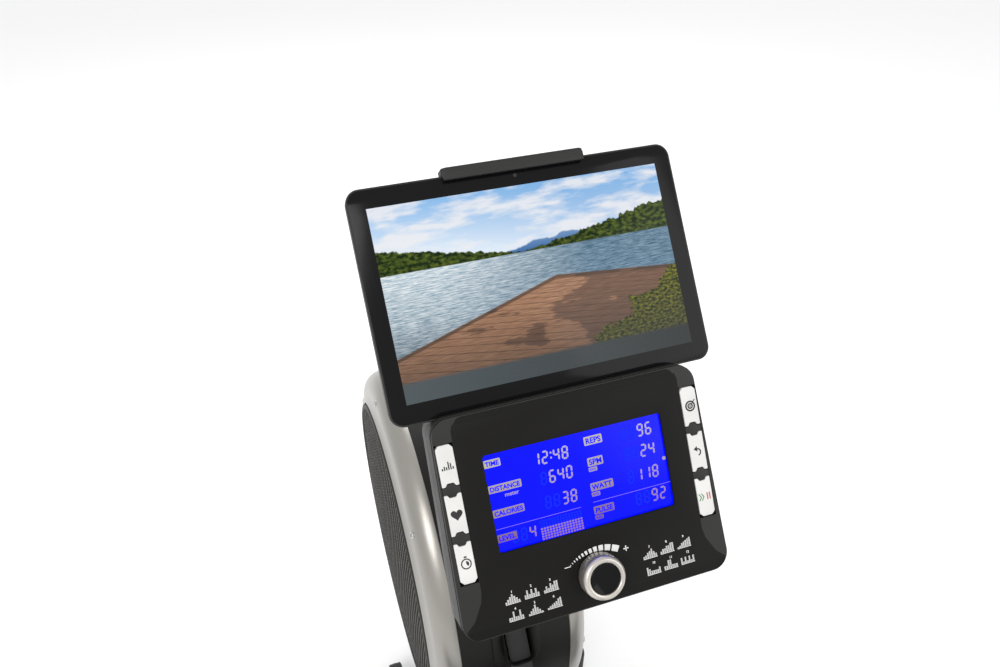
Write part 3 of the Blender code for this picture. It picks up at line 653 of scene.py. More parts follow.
# ---- camera and light
def studio():
    look = {"lens": 28.8, "fromDisplay": (-0.1751, -0.3399, 0.4273), "pitch": 51.98, "yaw": -18.61,
            "floor": 14.0}
    camera = bpy.data.cameras.new("camera")
    camera.lens = look["lens"]
    camera.sensor_width = 36
    camera.clip_start = 0.02
    holder = bpy.data.objects.new("camera", camera)
    holder.location = consoleFrame.translation + Vector(look["fromDisplay"])
    holder.rotation_euler = (radians(look["pitch"]), 0, radians(look["yaw"]))
    bpy.context.scene.collection.objects.link(holder)
    bpy.context.scene.camera = holder
    half = look["floor"]
    ground = bpy.data.meshes.new("floor")
    ground.from_pydata([(-half, -half, 0), (half, -half, 0), (half, half, 0), (-half, half, 0)], [],
                       [(0, 1, 2, 3)])
    floor = bpy.data.objects.new("floor", ground)
    pale = Finish("floorPale", (0.93, 0.93, 0.93), 0.9)
    pale.scuff(0.85, 0.95, 2)
    ground.materials.append(pale.material)
    floor.location.z = -0.0002
    bpy.context.scene.collection.objects.link(floor)
    world = bpy.data.worlds.new("studio")
    bpy.context.scene.world = world
    bpy.context.scene.view_settings.view_transform = "Standard"
    world.use_nodes = True
    world.node_tree.nodes["Background"].inputs[0].default_value = (1, 1, 1, 1)
    world.node_tree.nodes["Background"].inputs[1].default_value = 0.95
    for name, place, aim, size, power in (
            ("keyLight", (-1.6, -0.9, 2.6), (0, 0.5, 0.7), 1.4, 42),
            ("fillLight", (1.9, -1.4, 2.2), (0, 0.4, 0.6), 1.8, 22),
            ("backLight", (0.3, 2.6, 2.4), (0, 0.5, 0.5), 1.6, 26)):
        lamp = bpy.data.lights.new(name, "AREA")
        lamp.size = size
        lamp.energy = power
        lampHolder = bpy.data.objects.new(name, lamp)
        lampHolder.location = place
        lampHolder.rotation_euler = (Vector(aim) - Vector(place)).to_track_quat("-Z", "Y").to_euler()
        bpy.context.scene.collection.objects.link(lampHolder)


# ---- flywheel housing
housing = {
    "bandHalf": 0.0641, "edge": 0.0645, "round": 0.026, "wall": 0.003, "ventRadius": 0.1914, "ventX": 0.095,
    "bulge": 0.0105, "steps": 160, "slotHalf": 0.018, "slotFrame": 0.028, "slotFrom": 9.7, "slotTo": 60.0,
    "screwRadius": 0.214, "screws": 7}


def housingShells():
    h = housing
    for side, word in ((-1, "left"), (1, "right")):
        core = (h["edge"], discRadius - h["round"])
        outer = [(h["edge"], discRadius - 0.0045), (h["edge"], discRadius - 0.0007),
                 (h["edge"] + 0.0007, discRadius)]
        outer += arc(core, h["round"], 86, 4, 16)
        outer += [(h["ventX"] - 0.0016, 0.1980), (h["ventX"] + 0.0001, 0.1955), (h["ventX"], 0.1940),
                  (h["ventX"] - 0.0012, 0.1926), (h["ventX"] - 0.0040, 0.1922)]
        inner = [(h["ventX"] - 0.0040, 0.1950)] + arc(core, h["round"] - h["wall"], 4, 80, 8)
        profile = outer + inner + [outer[0]]
        keep(word + "ShellSkin", lathe([(side * a, r) for a, r in profile], h["steps"], matrix=discFrame),
             "silver", "frame", replaced=[word + "_shell"], smooth=35)


def housingVents():
    h = housing
    radius = h["ventRadius"]
    start = bpy.data.meshes.new("start")
    for side, word in ((-1, "left"), (1, "right")):
        net = lattice.run(start, Radius=radius - 0.004, Columns=66, Bar=0.76, Bulge=h["bulge"], Stretch=0.62)
        tidyMesh(net, 0.00002)
        piece = draft(net)
        net.materials.clear()
        # the second slot puts painted shade on the hole walls and back face of the lattice
        for tone in ("vent", "dark"):
            net.materials.append(finishes[tone].material)
        wall = piece.modifiers.new("wall", "SOLIDIFY")
        wall.thickness = 0.0005
        wall.offset = -1
        wall.material_offset = 1
        wall.material_offset_rim = 1
        net = baked(piece)
        outward = Matrix.Translation((side * h["ventX"], 0, 0)) @ Matrix.Rotation(radians(90 * side), 4, "Y")
        spin = Matrix.Rotation(radians(18), 4, "Z")
        net.transform(discFrame @ outward @ spin)
        keep(word + "VentNet", net, None, "frame", replaced=[word + "_vent"], smooth=0)
        x = h["ventX"]
        rim = [(x - 0.0035, radius), (x + 0.0006, radius), (x + 0.0016, radius - 0.0010),
               (x + 0.0022, radius - 0.0030), (x + 0.0019, radius - 0.0052), (x + 0.0004, radius - 0.0064),
               (x - 0.0035, radius - 0.0064), (x - 0.0035, radius)]
        keep(word + "VentRim", lathe([(side * a, r) for a, r in rim], h["steps"], matrix=discFrame), "side",
             "frame")
        # painted shade: a near-black domed sheet behind the lattice stands in for the shade inside the
        # housing
        shadeSheet = [(x - 0.0066 + h["bulge"] * 0.55, 0.0)]
        shadeSheet += [(x - 0.0066 + h["bulge"] * 0.55 * (1 - (r / radius) ** 2), r)
                 for r in (0.04, 0.08, 0.12, 0.16, radius - 0.001)]
        shadeSheet += [(a - 0.001, r) for a, r in shadeSheet[::-1]]
        keep(word + "VentFelt", lathe([(side * a, r) for a, r in shadeSheet], 64, matrix=discFrame), "dark",
             "frame")


def slotShape(half, low, high, run, corner=0.6):
    middle = radians((housing["slotFrom"] + housing["slotTo"]) / 2)
    out = Vector((0, -cos(middle), sin(middle)))
    up = Vector((0, sin(middle), cos(middle)))
    turn = Matrix((Vector((-1, 0, 0)), up, -out)).transposed().to_4x4()  # local Z runs into the housing
    place = Matrix.Translation(discCentre + out * discRadius) @ turn
    shape = flatShape(rounded(half, run, half * corner), low, high)
    shape.transform(place)
    return shape


def housingBand():
    h = housing
    r = discRadius - 0.0008
    half = h["bandHalf"]
    run = discRadius * sin(radians(h["slotTo"] - h["slotFrom"]) / 2)
    ring = [(-half, r - 0.003), (-half, r), (half, r), (half, r - 0.003), (-half, r - 0.003)]
    band = lathe(ring, h["steps"], matrix=discFrame)
    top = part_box("console_mast")[0]
    band = cutAway(band, slotShape(h["slotHalf"], -0.05, 0.05, run),
                   block((-0.024, top.y, discCentre.z + 0.16), (0.024, 0.760, 0.70)),
                   block((-0.0315, 0.615, 0.10), (0.0315, 0.9305, 0.30)))
    keep("bandSkin", tidyMesh(band), "band", "frame", replaced=["front_panel"],
         smooth=30)
    plate = [(-0.04, r + 0.0003), (0.04, r + 0.0003), (0.04, r + 0.0023), (-0.04, r + 0.0023),
             (-0.04, r + 0.0003)]
    frameRing = lathe(plate, h["steps"] * 2, matrix=discFrame)
    frameRing = cutAway(frameRing, slotShape(h["slotFrame"], -0.08, 0.08, run + 0.010),
                        operation="INTERSECT")
    frameRing = cutAway(tidyMesh(frameRing), slotShape(h["slotHalf"] - 0.001, -0.08, 0.08, run - 0.001))
    keep("slotFrame", bevelled(tidyMesh(frameRing), 0.0006, 2, 40), "band", "frame", replaced=["slot_bezel"],
         smooth=30)
    # painted shade: the slot's inner walls in the near-black shade finish
    outer = slotShape(h["slotHalf"] - 0.0012, 0.001, 0.020, run - 0.0012)
    hollow = slotShape(h["slotHalf"] - 0.0028, -0.01, 0.030, run - 0.0028)
    keep("slotThroat", tidyMesh(cutAway(outer, hollow)), "dark", "frame")


def housingScrews():
    h = housing
    spots = []
    for side in (-1, 1):
        for i in range(h["screws"]):
            turn = radians(24 + 360 * i / h["screws"])
            lift = math.sqrt(max(0.0, h["round"] ** 2 - (h["screwRadius"] - discRadius + h["round"]) ** 2))
            spots.append((discCentre + Vector((side * (h["edge"] + lift - 0.0008),
                                               h["screwRadius"] * cos(turn),
                                               h["screwRadius"] * sin(turn))),
                          Vector((side, 0.3 * cos(turn), 0.3 * sin(turn))).normalized()))
    keep("shellScrews", scattered(screwTree, screwHead(), spots), None, "frame", smooth=30)


# ---- console
console = {
    "wideTop": 0.0990, "wideLow": 0.1025, "top": 0.0654, "low": -0.0906, "corner": 0.013,
           "faceBack": -0.0040,
    "caseBack": -0.0340, "bandInner": 0.0848, "keyX": 0.0915, "keyHalf": 0.0061, "keyTop": 0.0480,
    "keyPitch": 0.0340, "keyTall": 0.0285, "lcd": (0.0678, 0.03525)}


def consoleShape(inset=0.0, steps=8):
    c = console
    top, low = c["top"] - inset, c["low"] + inset
    wideTop, wideLow = c["wideTop"] - inset, c["wideLow"] - inset
    r = c["corner"]
    return (arc((wideTop - r, top - r), r, 0, 90, steps) + arc((-wideTop + r, top - r), r, 90, 180, steps)
            + arc((-wideLow + r, low + r), r, 180, 270, steps) + arc((wideLow - r, low + r), r, 270, 360,
                                                                     steps))


def keyShape(side, row):
    # chamfers at the ends of the column, notches where two keys meet
    c = console
    high = c["keyTop"] - c["keyPitch"] * row
    low, half = high - c["keyTall"], c["keyHalf"]
    x = side * c["keyX"]
    notch, deep, slope, chamfer = 0.0036, 0.0022, 0.0014, 0.0024

    def edge(y, into, chamfered):
        if chamfered:
            return [(half, y - into * chamfer), (half - chamfer, y), (-half + chamfer, y),
                    (-half, y - into * chamfer)]
        return [(half, y), (notch, y), (notch - slope, y - into * deep), (-notch + slope, y - into * deep),
                (-notch, y), (-half, y)]
    points = edge(high, 1, row == 0) + edge(low, -1, row == 2)[::-1]
    return [(x + a, b) for a, b in points]


def icon(name, x, y, s):
    # dark symbols on the keys, as outlines with holes
    if name == "bars":
        heights = (0.25, 0.45, 0.35, 0.9, 0.7, 0.3)
        shapes = [[(x + s * (-0.9 + 0.32 * i), y - s * 0.6), (x + s * (-0.72 + 0.32 * i), y - s * 0.6),
                   (x + s * (-0.72 + 0.32 * i), y + s * (h * 1.3 - 0.6)),
                   (x + s * (-0.9 + 0.32 * i), y + s * (h * 1.3 - 0.6))]
                  for i, h in enumerate(heights)]
        return [(shape, ()) for shape in shapes]
    if name == "heart":
        points = []
        for i in range(40):
            t = 2 * pi * i / 40
            points.append((x + s * 0.055 * 16 * sin(t) ** 3,
                           y + s * 0.055 * (13 * cos(t) - 5 * cos(2 * t) - 2 * cos(3 * t) - cos(4 * t))))
        return [(points[::-1], ())]
    if name == "watch":
        ring = arc((x, y - s * 0.1), s * 0.8, 0, 350, 28)
        hole = arc((x, y - s * 0.1), s * 0.62, 350, 0, 28)
        hand = [(x, y - s * 0.1)] + arc((x, y - s * 0.1), s * 0.42, 90, -60, 8)
        knob = rounded(s * 0.22, s * 0.12, s * 0.05, (x, y + s * 0.92), 2)
        return [(ring, (hole,)), (hand, ()), (knob, ())]
    if name == "target":
        made = []
        for outer, inner in ((0.85, 0.60), (0.46, 0.24)):
            made.append((arc((x, y), s * outer, 0, 350, 26), (arc((x, y), s * inner, 350, 0, 26),)))
        made.append((arc((x, y), s * 0.13, 0, 330, 11), ()))
        made.append(([(x + s * 0.2, y + s * 0.12), (x + s * 0.95, y + s * 0.86),
                      (x + s * 0.84, y + s * 0.97),
                      (x + s * 0.12, y + s * 0.22)], ()))
        return made
    if name == "back":
        bow = arc((x - s * 0.05, y - s * 0.1), s * 0.62, -80, 90, 12) + arc((x - s * 0.05, y - s * 0.1),
                                                                            s * 0.40, 90, -80, 12)
        head = [(x - s * 0.05, y + s * 0.85), (x - s * 0.05, y - s * 0.02), (x - s * 0.66, y + s * 0.42)]
        return [(bow, ()), (head, ())]
    if name == "forward":
        return [([(x + s * o, y - s * 0.5), (x + s * (o + 0.16), y - s * 0.5), (x + s * (o + 0.5), y),
                  (x + s * (o + 0.16), y + s * 0.5), (x + s * o, y + s * 0.5), (x + s * (o + 0.34), y)], ())
                for o in (-1.05, -0.65)]
    return [([(x + s * o, y - s * 0.5), (x + s * (o + 0.16), y - s * 0.5), (x + s * (o + 0.16), y + s * 0.5),
              (x + s * o, y + s * 0.5)], ()) for o in (0.25, 0.62)]


def printed(name, shapes, height, finish, body, thick=0.00012):
    meshes = [flatShape(outline, height, height + thick, holes) for outline, holes in shapes]
    return keep(name, merged(meshes), finish, body, consoleFrame, smooth=0)


def consoleBody():
    c = console
    lcdX, lcdY = c["lcd"]
    window = block((-lcdX, -lcdY, -0.02), (lcdX, lcdY, 0.02))
    well = flatShape(arc((0, -knobDrop), 0.0040, 0, 345, 23), -0.02, 0.02)
    pockets = [block((side * c["keyX"] - 0.0066, c["keyTop"] - 0.0975, -0.02),
                     (side * c["keyX"] + 0.0066, c["keyTop"] + 0.0007, 0.02))
               for side in (-1, 1)]
    edgeShape = flatShape(consoleShape(0.0005), c["faceBack"], -0.0003, bevel=0.0022, segments=4)
    edgeShape = cutAway(edgeShape, window, well.copy(), pockets[0].copy(), pockets[1].copy())
    keep("faceEdge", edgeShape, "side", "console", consoleFrame, ["console_face"], 30)
    top, low, inner = c["top"] - 0.0012, c["low"] + 0.0012, c["bandInner"]
    foot = 0.0930
    sheet = ([(inner, 0.0560), (inner - 0.0015, 0.0600)] + arc((inner - 0.0085, top - 0.006), 0.006, 20, 90,
                                                               4)
             + arc((-inner + 0.0085, top - 0.006), 0.006, 90, 160, 4) + [(-inner + 0.0015, 0.0600),
                                                                         (-inner, 0.0560)]
             + [(-inner, -0.0570), (-inner - 0.0015, -0.0640), (-foot, -0.0760)]
             + arc((-foot + 0.002, low + 0.009), 0.009, 190, 270, 5) + arc((foot - 0.002, low + 0.009),
                                                                           0.009, 270, 350, 5)
             + [(foot, -0.0760), (inner + 0.0015, -0.0640), (inner, -0.0570)])
    overlay = flatShape(sheet, -0.0006, -0.00002, bevel=0.0004, segments=2)
    overlay = cutAway(overlay, block((-lcdX + 0.0004, -lcdY + 0.0004, -0.02),
                                     (lcdX - 0.0004, lcdY - 0.0004, 0.02)), well)
    keep("faceSheet", overlay, "face", "console", consoleFrame, smooth=30)
    case = flatShape(consoleShape(), c["caseBack"], c["faceBack"] - 0.0003, bevel=0.0055, segments=5)
    rib = flatShape(consoleShape(), -0.0200, -0.0192)
    ribInner = flatShape(consoleShape(0.0007), -0.03, 0.0)
    groove = cutAway(rib, ribInner)
    case = cutAway(case, groove, *pockets)
    room = block((-0.14, -0.0824, -0.0202), (0.14, 0.10, 0.0004))
    room.transform(consoleFrame.inverted() @ tabletFrame)
    case = cutAway(case, room)
    for side in (-1, 1):
        pin = consoleFrame.inverted() @ Vector(joints["console_tilt"]["pos_m"])
        ear = flatShape(arc((pin.y, pin.z), 0.011, 0, -180, 12) + [(pin.y - 0.011, c["caseBack"] + 0.003),
                                                                   (pin.y + 0.011, c["caseBack"] + 0.003)],
                        -0.003, 0.003, bevel=0.001)
        ear.transform(Matrix.Translation((side * 0.023, 0, 0)) @ alongX)
        case = merged([case, ear])
    keep("caseSkin", case, "side", "console", consoleFrame, ["console_case"], 35)
    # painted shade: dark strips set into the back of the case stand in for the shade in its vent slits
    vents = [block((a - 0.0008, 0.020, c["caseBack"] - 0.0001), (a + 0.0008, 0.036, c["caseBack"] + 0.0008))
             for a in [-0.036 + 0.006 * i for i in range(13)]]
    keep("caseSlits", merged(vents), "dark", "console", consoleFrame, smooth=0)


def consoleKeys():
    c = console
    names = {(-1, 0): ("program_key", "bars"), (-1, 1): ("pulse_key", "heart"),
             (-1, 2): ("timer_key", "watch"),
             (1, 0): ("target_key", "target"), (1, 1): ("return_key", "back"),
             (1, 2): ("start_stop_key", "forward")}
    for (side, row), (node, sign) in names.items():
        cap = flatShape(keyShape(side, row), -0.0046, -0.00005, bevel=0.0005, segments=3)
        keep(node + "Cap", cap, "keyWhite", node, consoleFrame, [node], 30)
        x, y = side * c["keyX"] + 0.0002, c["keyTop"] - c["keyPitch"] * row - c["keyTall"] / 2
        large = 0.0052 if sign == "forward" else 0.0047
        shapes = icon(sign, x, y, large)
        printed(node + "Sign", shapes, -0.0001, "iconGreen" if sign == "forward" else "icon", node)
        if sign == "forward":
            printed("start_stop_keyPause", icon("pause", x, y, large), -0.0001, "iconRed", node)
    bridges = []
    for side in (-1, 1):
        for row in (0, 1):
            y = c["keyTop"] - c["keyPitch"] * row - c["keyTall"] - (c["keyPitch"] - c["keyTall"]) / 2
            x = side * c["keyX"]
            half = (c["keyPitch"] - c["keyTall"]) / 2
            points = [(x - 0.0064, y - half + 0.0004), (x - 0.0034, y - half + 0.0004),
                      (x - 0.0021, y - half - 0.0018),
                      (x + 0.0021, y - half - 0.0018), (x + 0.0034, y - half + 0.0004),
                      (x + 0.0064, y - half + 0.0004),
                      (x + 0.0064, y + half - 0.0004), (x + 0.0034, y + half - 0.0004),
                      (x + 0.0021, y + half + 0.0018),
                      (x - 0.0021, y + half + 0.0018), (x - 0.0034, y + half - 0.0004),
                      (x - 0.0064, y + half - 0.0004)]
            bridges.append(flatShape(points, -0.0060, -0.0004, bevel=0.0004, segments=2))
    keep("keyBridges", merged(bridges), "side", "console", consoleFrame, smooth=30)


segments = {"0": "abcdef", "1": "bc", "2": "abged", "3": "abgcd", "4": "fgbc", "5": "afgcd", "6": "afgedc",
            "7": "abc", "8": "abcdefg", "9": "abcdfg"}


def digitShapes(text, x, y, tall, everything=False):
    # seven-segment figures, right edge at x, foot at y
    wide, thick, gap, lean = tall * 0.52, tall * 0.13, tall * 0.02, 0.08
    made = []
    cursor = x
    for sign in reversed(text):
        if sign == ":":
            cursor -= wide * 0.45
            for level in (0.3, 0.68):
                made.append(([(cursor + thick * a + lean * tall * level, y + tall * level + thick * b)
                              for a, b in ((0, 0), (1, 0), (1, 1), (0, 1))], ()))
            continue
        cursor -= wide * 1.32
        h, w, t = tall, wide, thick
        bars = {"a": ("h", h), "g": ("h", h / 2), "d": ("h", 0), "f": ("v", 0, h / 2), "b": ("v", w, h / 2),
                "e": ("v", 0, 0), "c": ("v", w, 0)}
        for key in "abcdefg" if everything else segments[sign]:
            kind = bars[key]
            if kind[0] == "h":
                yy = kind[1]
                low = min(max(yy - t / 2, 0), h - t)
                points = [(gap + t * 0.5, low + t / 2), (gap + t, low), (w - gap - t, low),
                          (w - gap - t * 0.5, low + t / 2),
                          (w - gap - t, low + t), (gap + t, low + t)]
            else:
                xx = min(max(kind[1] - t / 2, 0), w - t)
                low = kind[2] + gap + (t * 0.5 if kind[2] == 0 else 0)
                high = kind[2] + h / 2 - gap - (t * 0.5 if kind[2] else 0)
                points = [(xx, low + t * 0.4), (xx + t / 2, low), (xx + t, low + t * 0.4),
                          (xx + t, high - t * 0.4),
                          (xx + t / 2, high), (xx, high - t * 0.4)]
            made.append(([(cursor + a + lean * b, y + b) for a, b in points], ()))
    return made


def lettering(text, x, y, tall, thick=0.0001, bold=0.0):
    curve = bpy.data.curves.new("letters", "FONT")
    curve.body = text
    curve.size = tall
    curve.extrude = thick / 2
    curve.offset = bold
    curve.resolution_u = 3
    mesh = baked(draft(curve))
    mesh.transform(Matrix.Translation((x, y, thick / 2)))
    return mesh


def display():
    c = console
    lcdX, lcdY = c["lcd"]
    ink = -0.0015
    glassBack = block((-lcdX + 0.0003, -lcdY + 0.0003, -0.0080),
                      (lcdX - 0.0003, lcdY - 0.0003, ink - 0.0001), 0.0006)
    keep("displayGlass", glassBack, "lcd", "console", consoleFrame, ["lcd_panel"], 30)
    figures = [("12:48", -0.0045, 0.0182), ("640", -0.0038, 0.0040), ("38", -0.0036, -0.0132),
               ("4", -0.0375, -0.0305),
               ("96", 0.0603, 0.0206), ("24", 0.0603, 0.0056), ("118", 0.0603, -0.0110),
               ("92", 0.0632, -0.0280)]
    shapes, ghosts = [], []
    for text, x, y in figures:
        shapes += digitShapes(text, x, y, 0.0093)
        if text != "12:48":
            room = 4 - len(text) if x > -0.02 else 2
            ghosts += digitShapes("8" * room, x - len(text) * 0.0093 * 0.52 * 1.32, y, 0.0093, True)
    wide, tall, across, up = 0.00150, 0.00125, 0.00212, 0.00180
    corners = [(-0.0352 + across * i, -0.0337 + up * j) for i in range(15) for j in range(8)]
    dots = [([(a, b), (a + wide, b), (a + wide, b + tall), (a, b + tall)], ()) for a, b in corners]
    shapes += [dot for dot in dots if dot[0][0][1] < -0.0256]
    ghosts += [dot for dot in dots if dot[0][0][1] > -0.0256]
    for a0, a1, b in ((-0.0665, -0.0035, -0.0182), (0.0060, 0.0668, -0.0172)):
        shapes.append(([(a0, b), (a1, b), (a1, b + 0.00025), (a0, b + 0.00025)], ()))
    shapes.append((arc((0.0650, 0.0010), 0.0014, 0, 330, 11), ()))
    printed("displayGhosts", ghosts, ink - 0.00006, "lcdGhost", "console", 0.00004)
    labels = [("TIME", -0.0668, 0.0250, 0.0046), ("DISTANCE", -0.0668, 0.0072, 0.0046),
              ("CALORIES", -0.0668, -0.0100, 0.0046),
              ("LEVEL", -0.0668, -0.0275, 0.0046), ("REPS", 0.0070, 0.0236, 0.0056),
              ("SPM", 0.0070, 0.0084, 0.0056),
              ("WATT", 0.0060, -0.0094, 0.0052), ("PULSE", 0.0055, -0.0262, 0.0050)]
    letters = [lettering("meter", -0.0560, 0.0030, 0.0042, bold=0.00006)]
    plates = []
    for text, a, b, size in labels:
        word = lettering(text, a + 0.0011, b + 0.0011, size, bold=0.00016)
        wide = max(v.co.x for v in word.vertices) - a + 0.0011
        tall = size * 0.72 + 0.0022
        plates.append((rounded(wide / 2, tall / 2, 0.0008, (a + wide / 2, b + tall / 2), 3), ()))
        letters.append(word)
        if text in ("SPM", "WATT", "PULSE"):
            small = lettering("AVG", a + 0.0007, b - 0.0030, 0.0023, bold=0.00005)
            letters.append(small)
            plates.append((rounded(0.0032, 0.0015, 0.0006, (a + 0.0032, b - 0.0022), 3), ()))
    printed("displayFigures", shapes, ink, "lcdInk", "console", 0.00006)
    printed("displayChips", plates, ink, "lcdChip", "console", 0.00006)
    for word in letters:
        word.transform(Matrix.Translation((0, 0, ink + 0.00003)))
    keep("displayUnits", letters[0], "lcdInk", "console", consoleFrame, smooth=0)
    keep("displayLabels", merged(letters[1:]), "lcd", "console", consoleFrame, smooth=0)
    windowRing = flatShape(rounded(lcdX + 0.0002, lcdY + 0.0002, 0.0012), -0.0030, -0.0002,
                           [rounded(lcdX - 0.0009, lcdY - 0.0009, 0.0024)[::-1]], bevel=0.0003)
    keep("displayFrame", windowRing, "face", "console", consoleFrame, smooth=30)


def circleThrough(a, b, c):
    d = 2 * (a[0] * (b[1] - c[1]) + b[0] * (c[1] - a[1]) + c[0] * (a[1] - b[1]))
    squares = [p[0] ** 2 + p[1] ** 2 for p in (a, b, c)]
    x = (squares[0] * (b[1] - c[1]) + squares[1] * (c[1] - a[1]) + squares[2] * (a[1] - b[1])) / d
    y = (squares[0] * (c[0] - b[0]) + squares[1] * (a[0] - c[0]) + squares[2] * (b[0] - a[0])) / d
    return (x, y), math.hypot(a[0] - x, a[1] - y)


def faceSymbols():
    shapes = []
    centre, reach = circleThrough((-0.0196, -0.0560), (0.0046, -0.0478), (0.0190, -0.0520))
    first = math.degrees(math.atan2(-0.0560 - centre[1], -0.0196 - centre[0]))
    last = math.degrees(math.atan2(-0.0520 - centre[1], 0.0190 - centre[0]))
    marks = [0.6 * 1.24 ** i for i in range(12)]
    gap = 1.5
    unit = (first - last) / (sum(marks) + gap * 11)
    turn = first
    for i, mark in enumerate(marks):
        tall = 0.0006 + 0.0040 * (i / 11) ** 0.9
        end = turn - mark * unit
        shapes.append((arc(centre, reach, end, turn, 3) + arc(centre, reach - tall, turn, end, 3), ()))
        turn = end - gap * unit
    shapes.append(([(-0.0240, -0.0566), (-0.0192, -0.0566), (-0.0192, -0.0572), (-0.0240, -0.0572)], ()))
    plus = 0.0236, -0.0552
    for a, b in ((0.0020, 0.0004), (0.0004, 0.0020)):
        shapes.append(([(plus[0] - a, plus[1] - b), (plus[0] + a, plus[1] - b), (plus[0] + a, plus[1] + b),
                        (plus[0] - a, plus[1] + b)], ()))
    profiles = [[2, 4, 6, 8, 6, 4, 2], [3, 7, 3, 7, 3, 7, 3], [2, 5, 3, 7, 5, 8, 8], [3, 3, 8, 3, 3, 8, 3],
                [1, 3, 5, 8, 5, 3, 1], [1, 2, 3, 4, 5, 7, 8], [2, 3, 5, 6, 8, 5, 3], [2, 4, 4, 6, 6, 8, 8],
                [1, 2, 4, 5, 6, 7, 8], [7, 5, 3, 3, 3, 3, 5], [3, 3, 8, 8, 3, 3, 3], [6, 2, 6, 2, 6, 2, 6]]
    starts = [(-0.0700 + 0.0142 * i, -0.0700 + 0.0003 * i) for i in range(3)]
    starts += [(-0.0695 + 0.0142 * i, -0.0822 + 0.0003 * i) for i in range(3)]
    starts += [(0.0355 + 0.0137 * i, -0.0668 + 0.0003 * i) for i in range(3)]
    starts += [(0.0365 + 0.0137 * i, -0.0790 + 0.0003 * i) for i in range(3)]
    numbers = []
    for index, ((a, b), profile) in enumerate(zip(starts, profiles)):
        for i, level in enumerate(profile):
            x = a + 0.00158 * i
            for k in range(level):
                low = b + 0.00078 * k
                shapes.append(([(x, low), (x + 0.00120, low), (x + 0.00120, low + 0.00048),
                                (x, low + 0.00048)], ()))
        shapes.append(([(a, b - 0.0007), (a + 0.0110, b - 0.0007), (a + 0.0110, b - 0.0003),
                        (a, b - 0.0003)], ()))
        numbers.append(lettering(str(index + 1), a + 0.0050, b + 0.0070, 0.0024, bold=0.00006))
    printed("faceSymbols", shapes, -0.00004, "print", "console", 0.00005)
    for word in numbers:
        word.transform(Matrix.Translation((0, 0, -0.00004)))
    keep("faceNumbers", merged(numbers), "print", "console", consoleFrame, smooth=0)


def selector():
    knobPlace = consoleFrame @ Matrix.Translation((0, -knobDrop, 0)) @ Matrix.Rotation(radians(-90), 4, "Y")
    radius = 0.0160
    ribs = 72
    ring = [(0.0013, 0.0112), (0.0013, radius - 0.0006), (0.0020, radius - 0.0001),
            (0.0108, radius - 0.0001),
            (0.0118, radius - 0.0005), (0.0138, 0.0142), (0.0140, 0.0136), (0.0140, 0.0120),
            (0.0136, 0.0114),
            (0.0122, 0.0112), (0.0013, 0.0112)]
    knobFinish = grained("knobAlloy", (0.52, 0.49, 0.45), 0.30, 0.40, 3000, 0.00001, 0.05, Metallic=0.85)
    finishes["knobAlloy"] = knobFinish
    mesh = lathe(ring, 144)
    for vertex in mesh.vertices:
        a, reach = vertex.co.x, math.hypot(vertex.co.y, vertex.co.z)
        if 0.0019 < a < 0.0112 and reach > radius - 0.0004:
            turn = math.atan2(vertex.co.z, vertex.co.y)
            shrink = 1 - 0.016 * (0.5 + 0.5 * cos(ribs * turn))
            vertex.co.y *= shrink
            vertex.co.z *= shrink
    keep("knobRing", mesh, "knobAlloy", "knob", knobPlace, ["knob"], 50)
    cap = [(0.0016, 0.0), (0.0016, 0.0110), (0.0130, 0.0110), (0.0132, 0.0106), (0.0124, 0.0070),
           (0.0121, 0.0)]
    keep("knobCentre", lathe(cap, 64), "blackGloss", "knob", knobPlace, smooth=30)


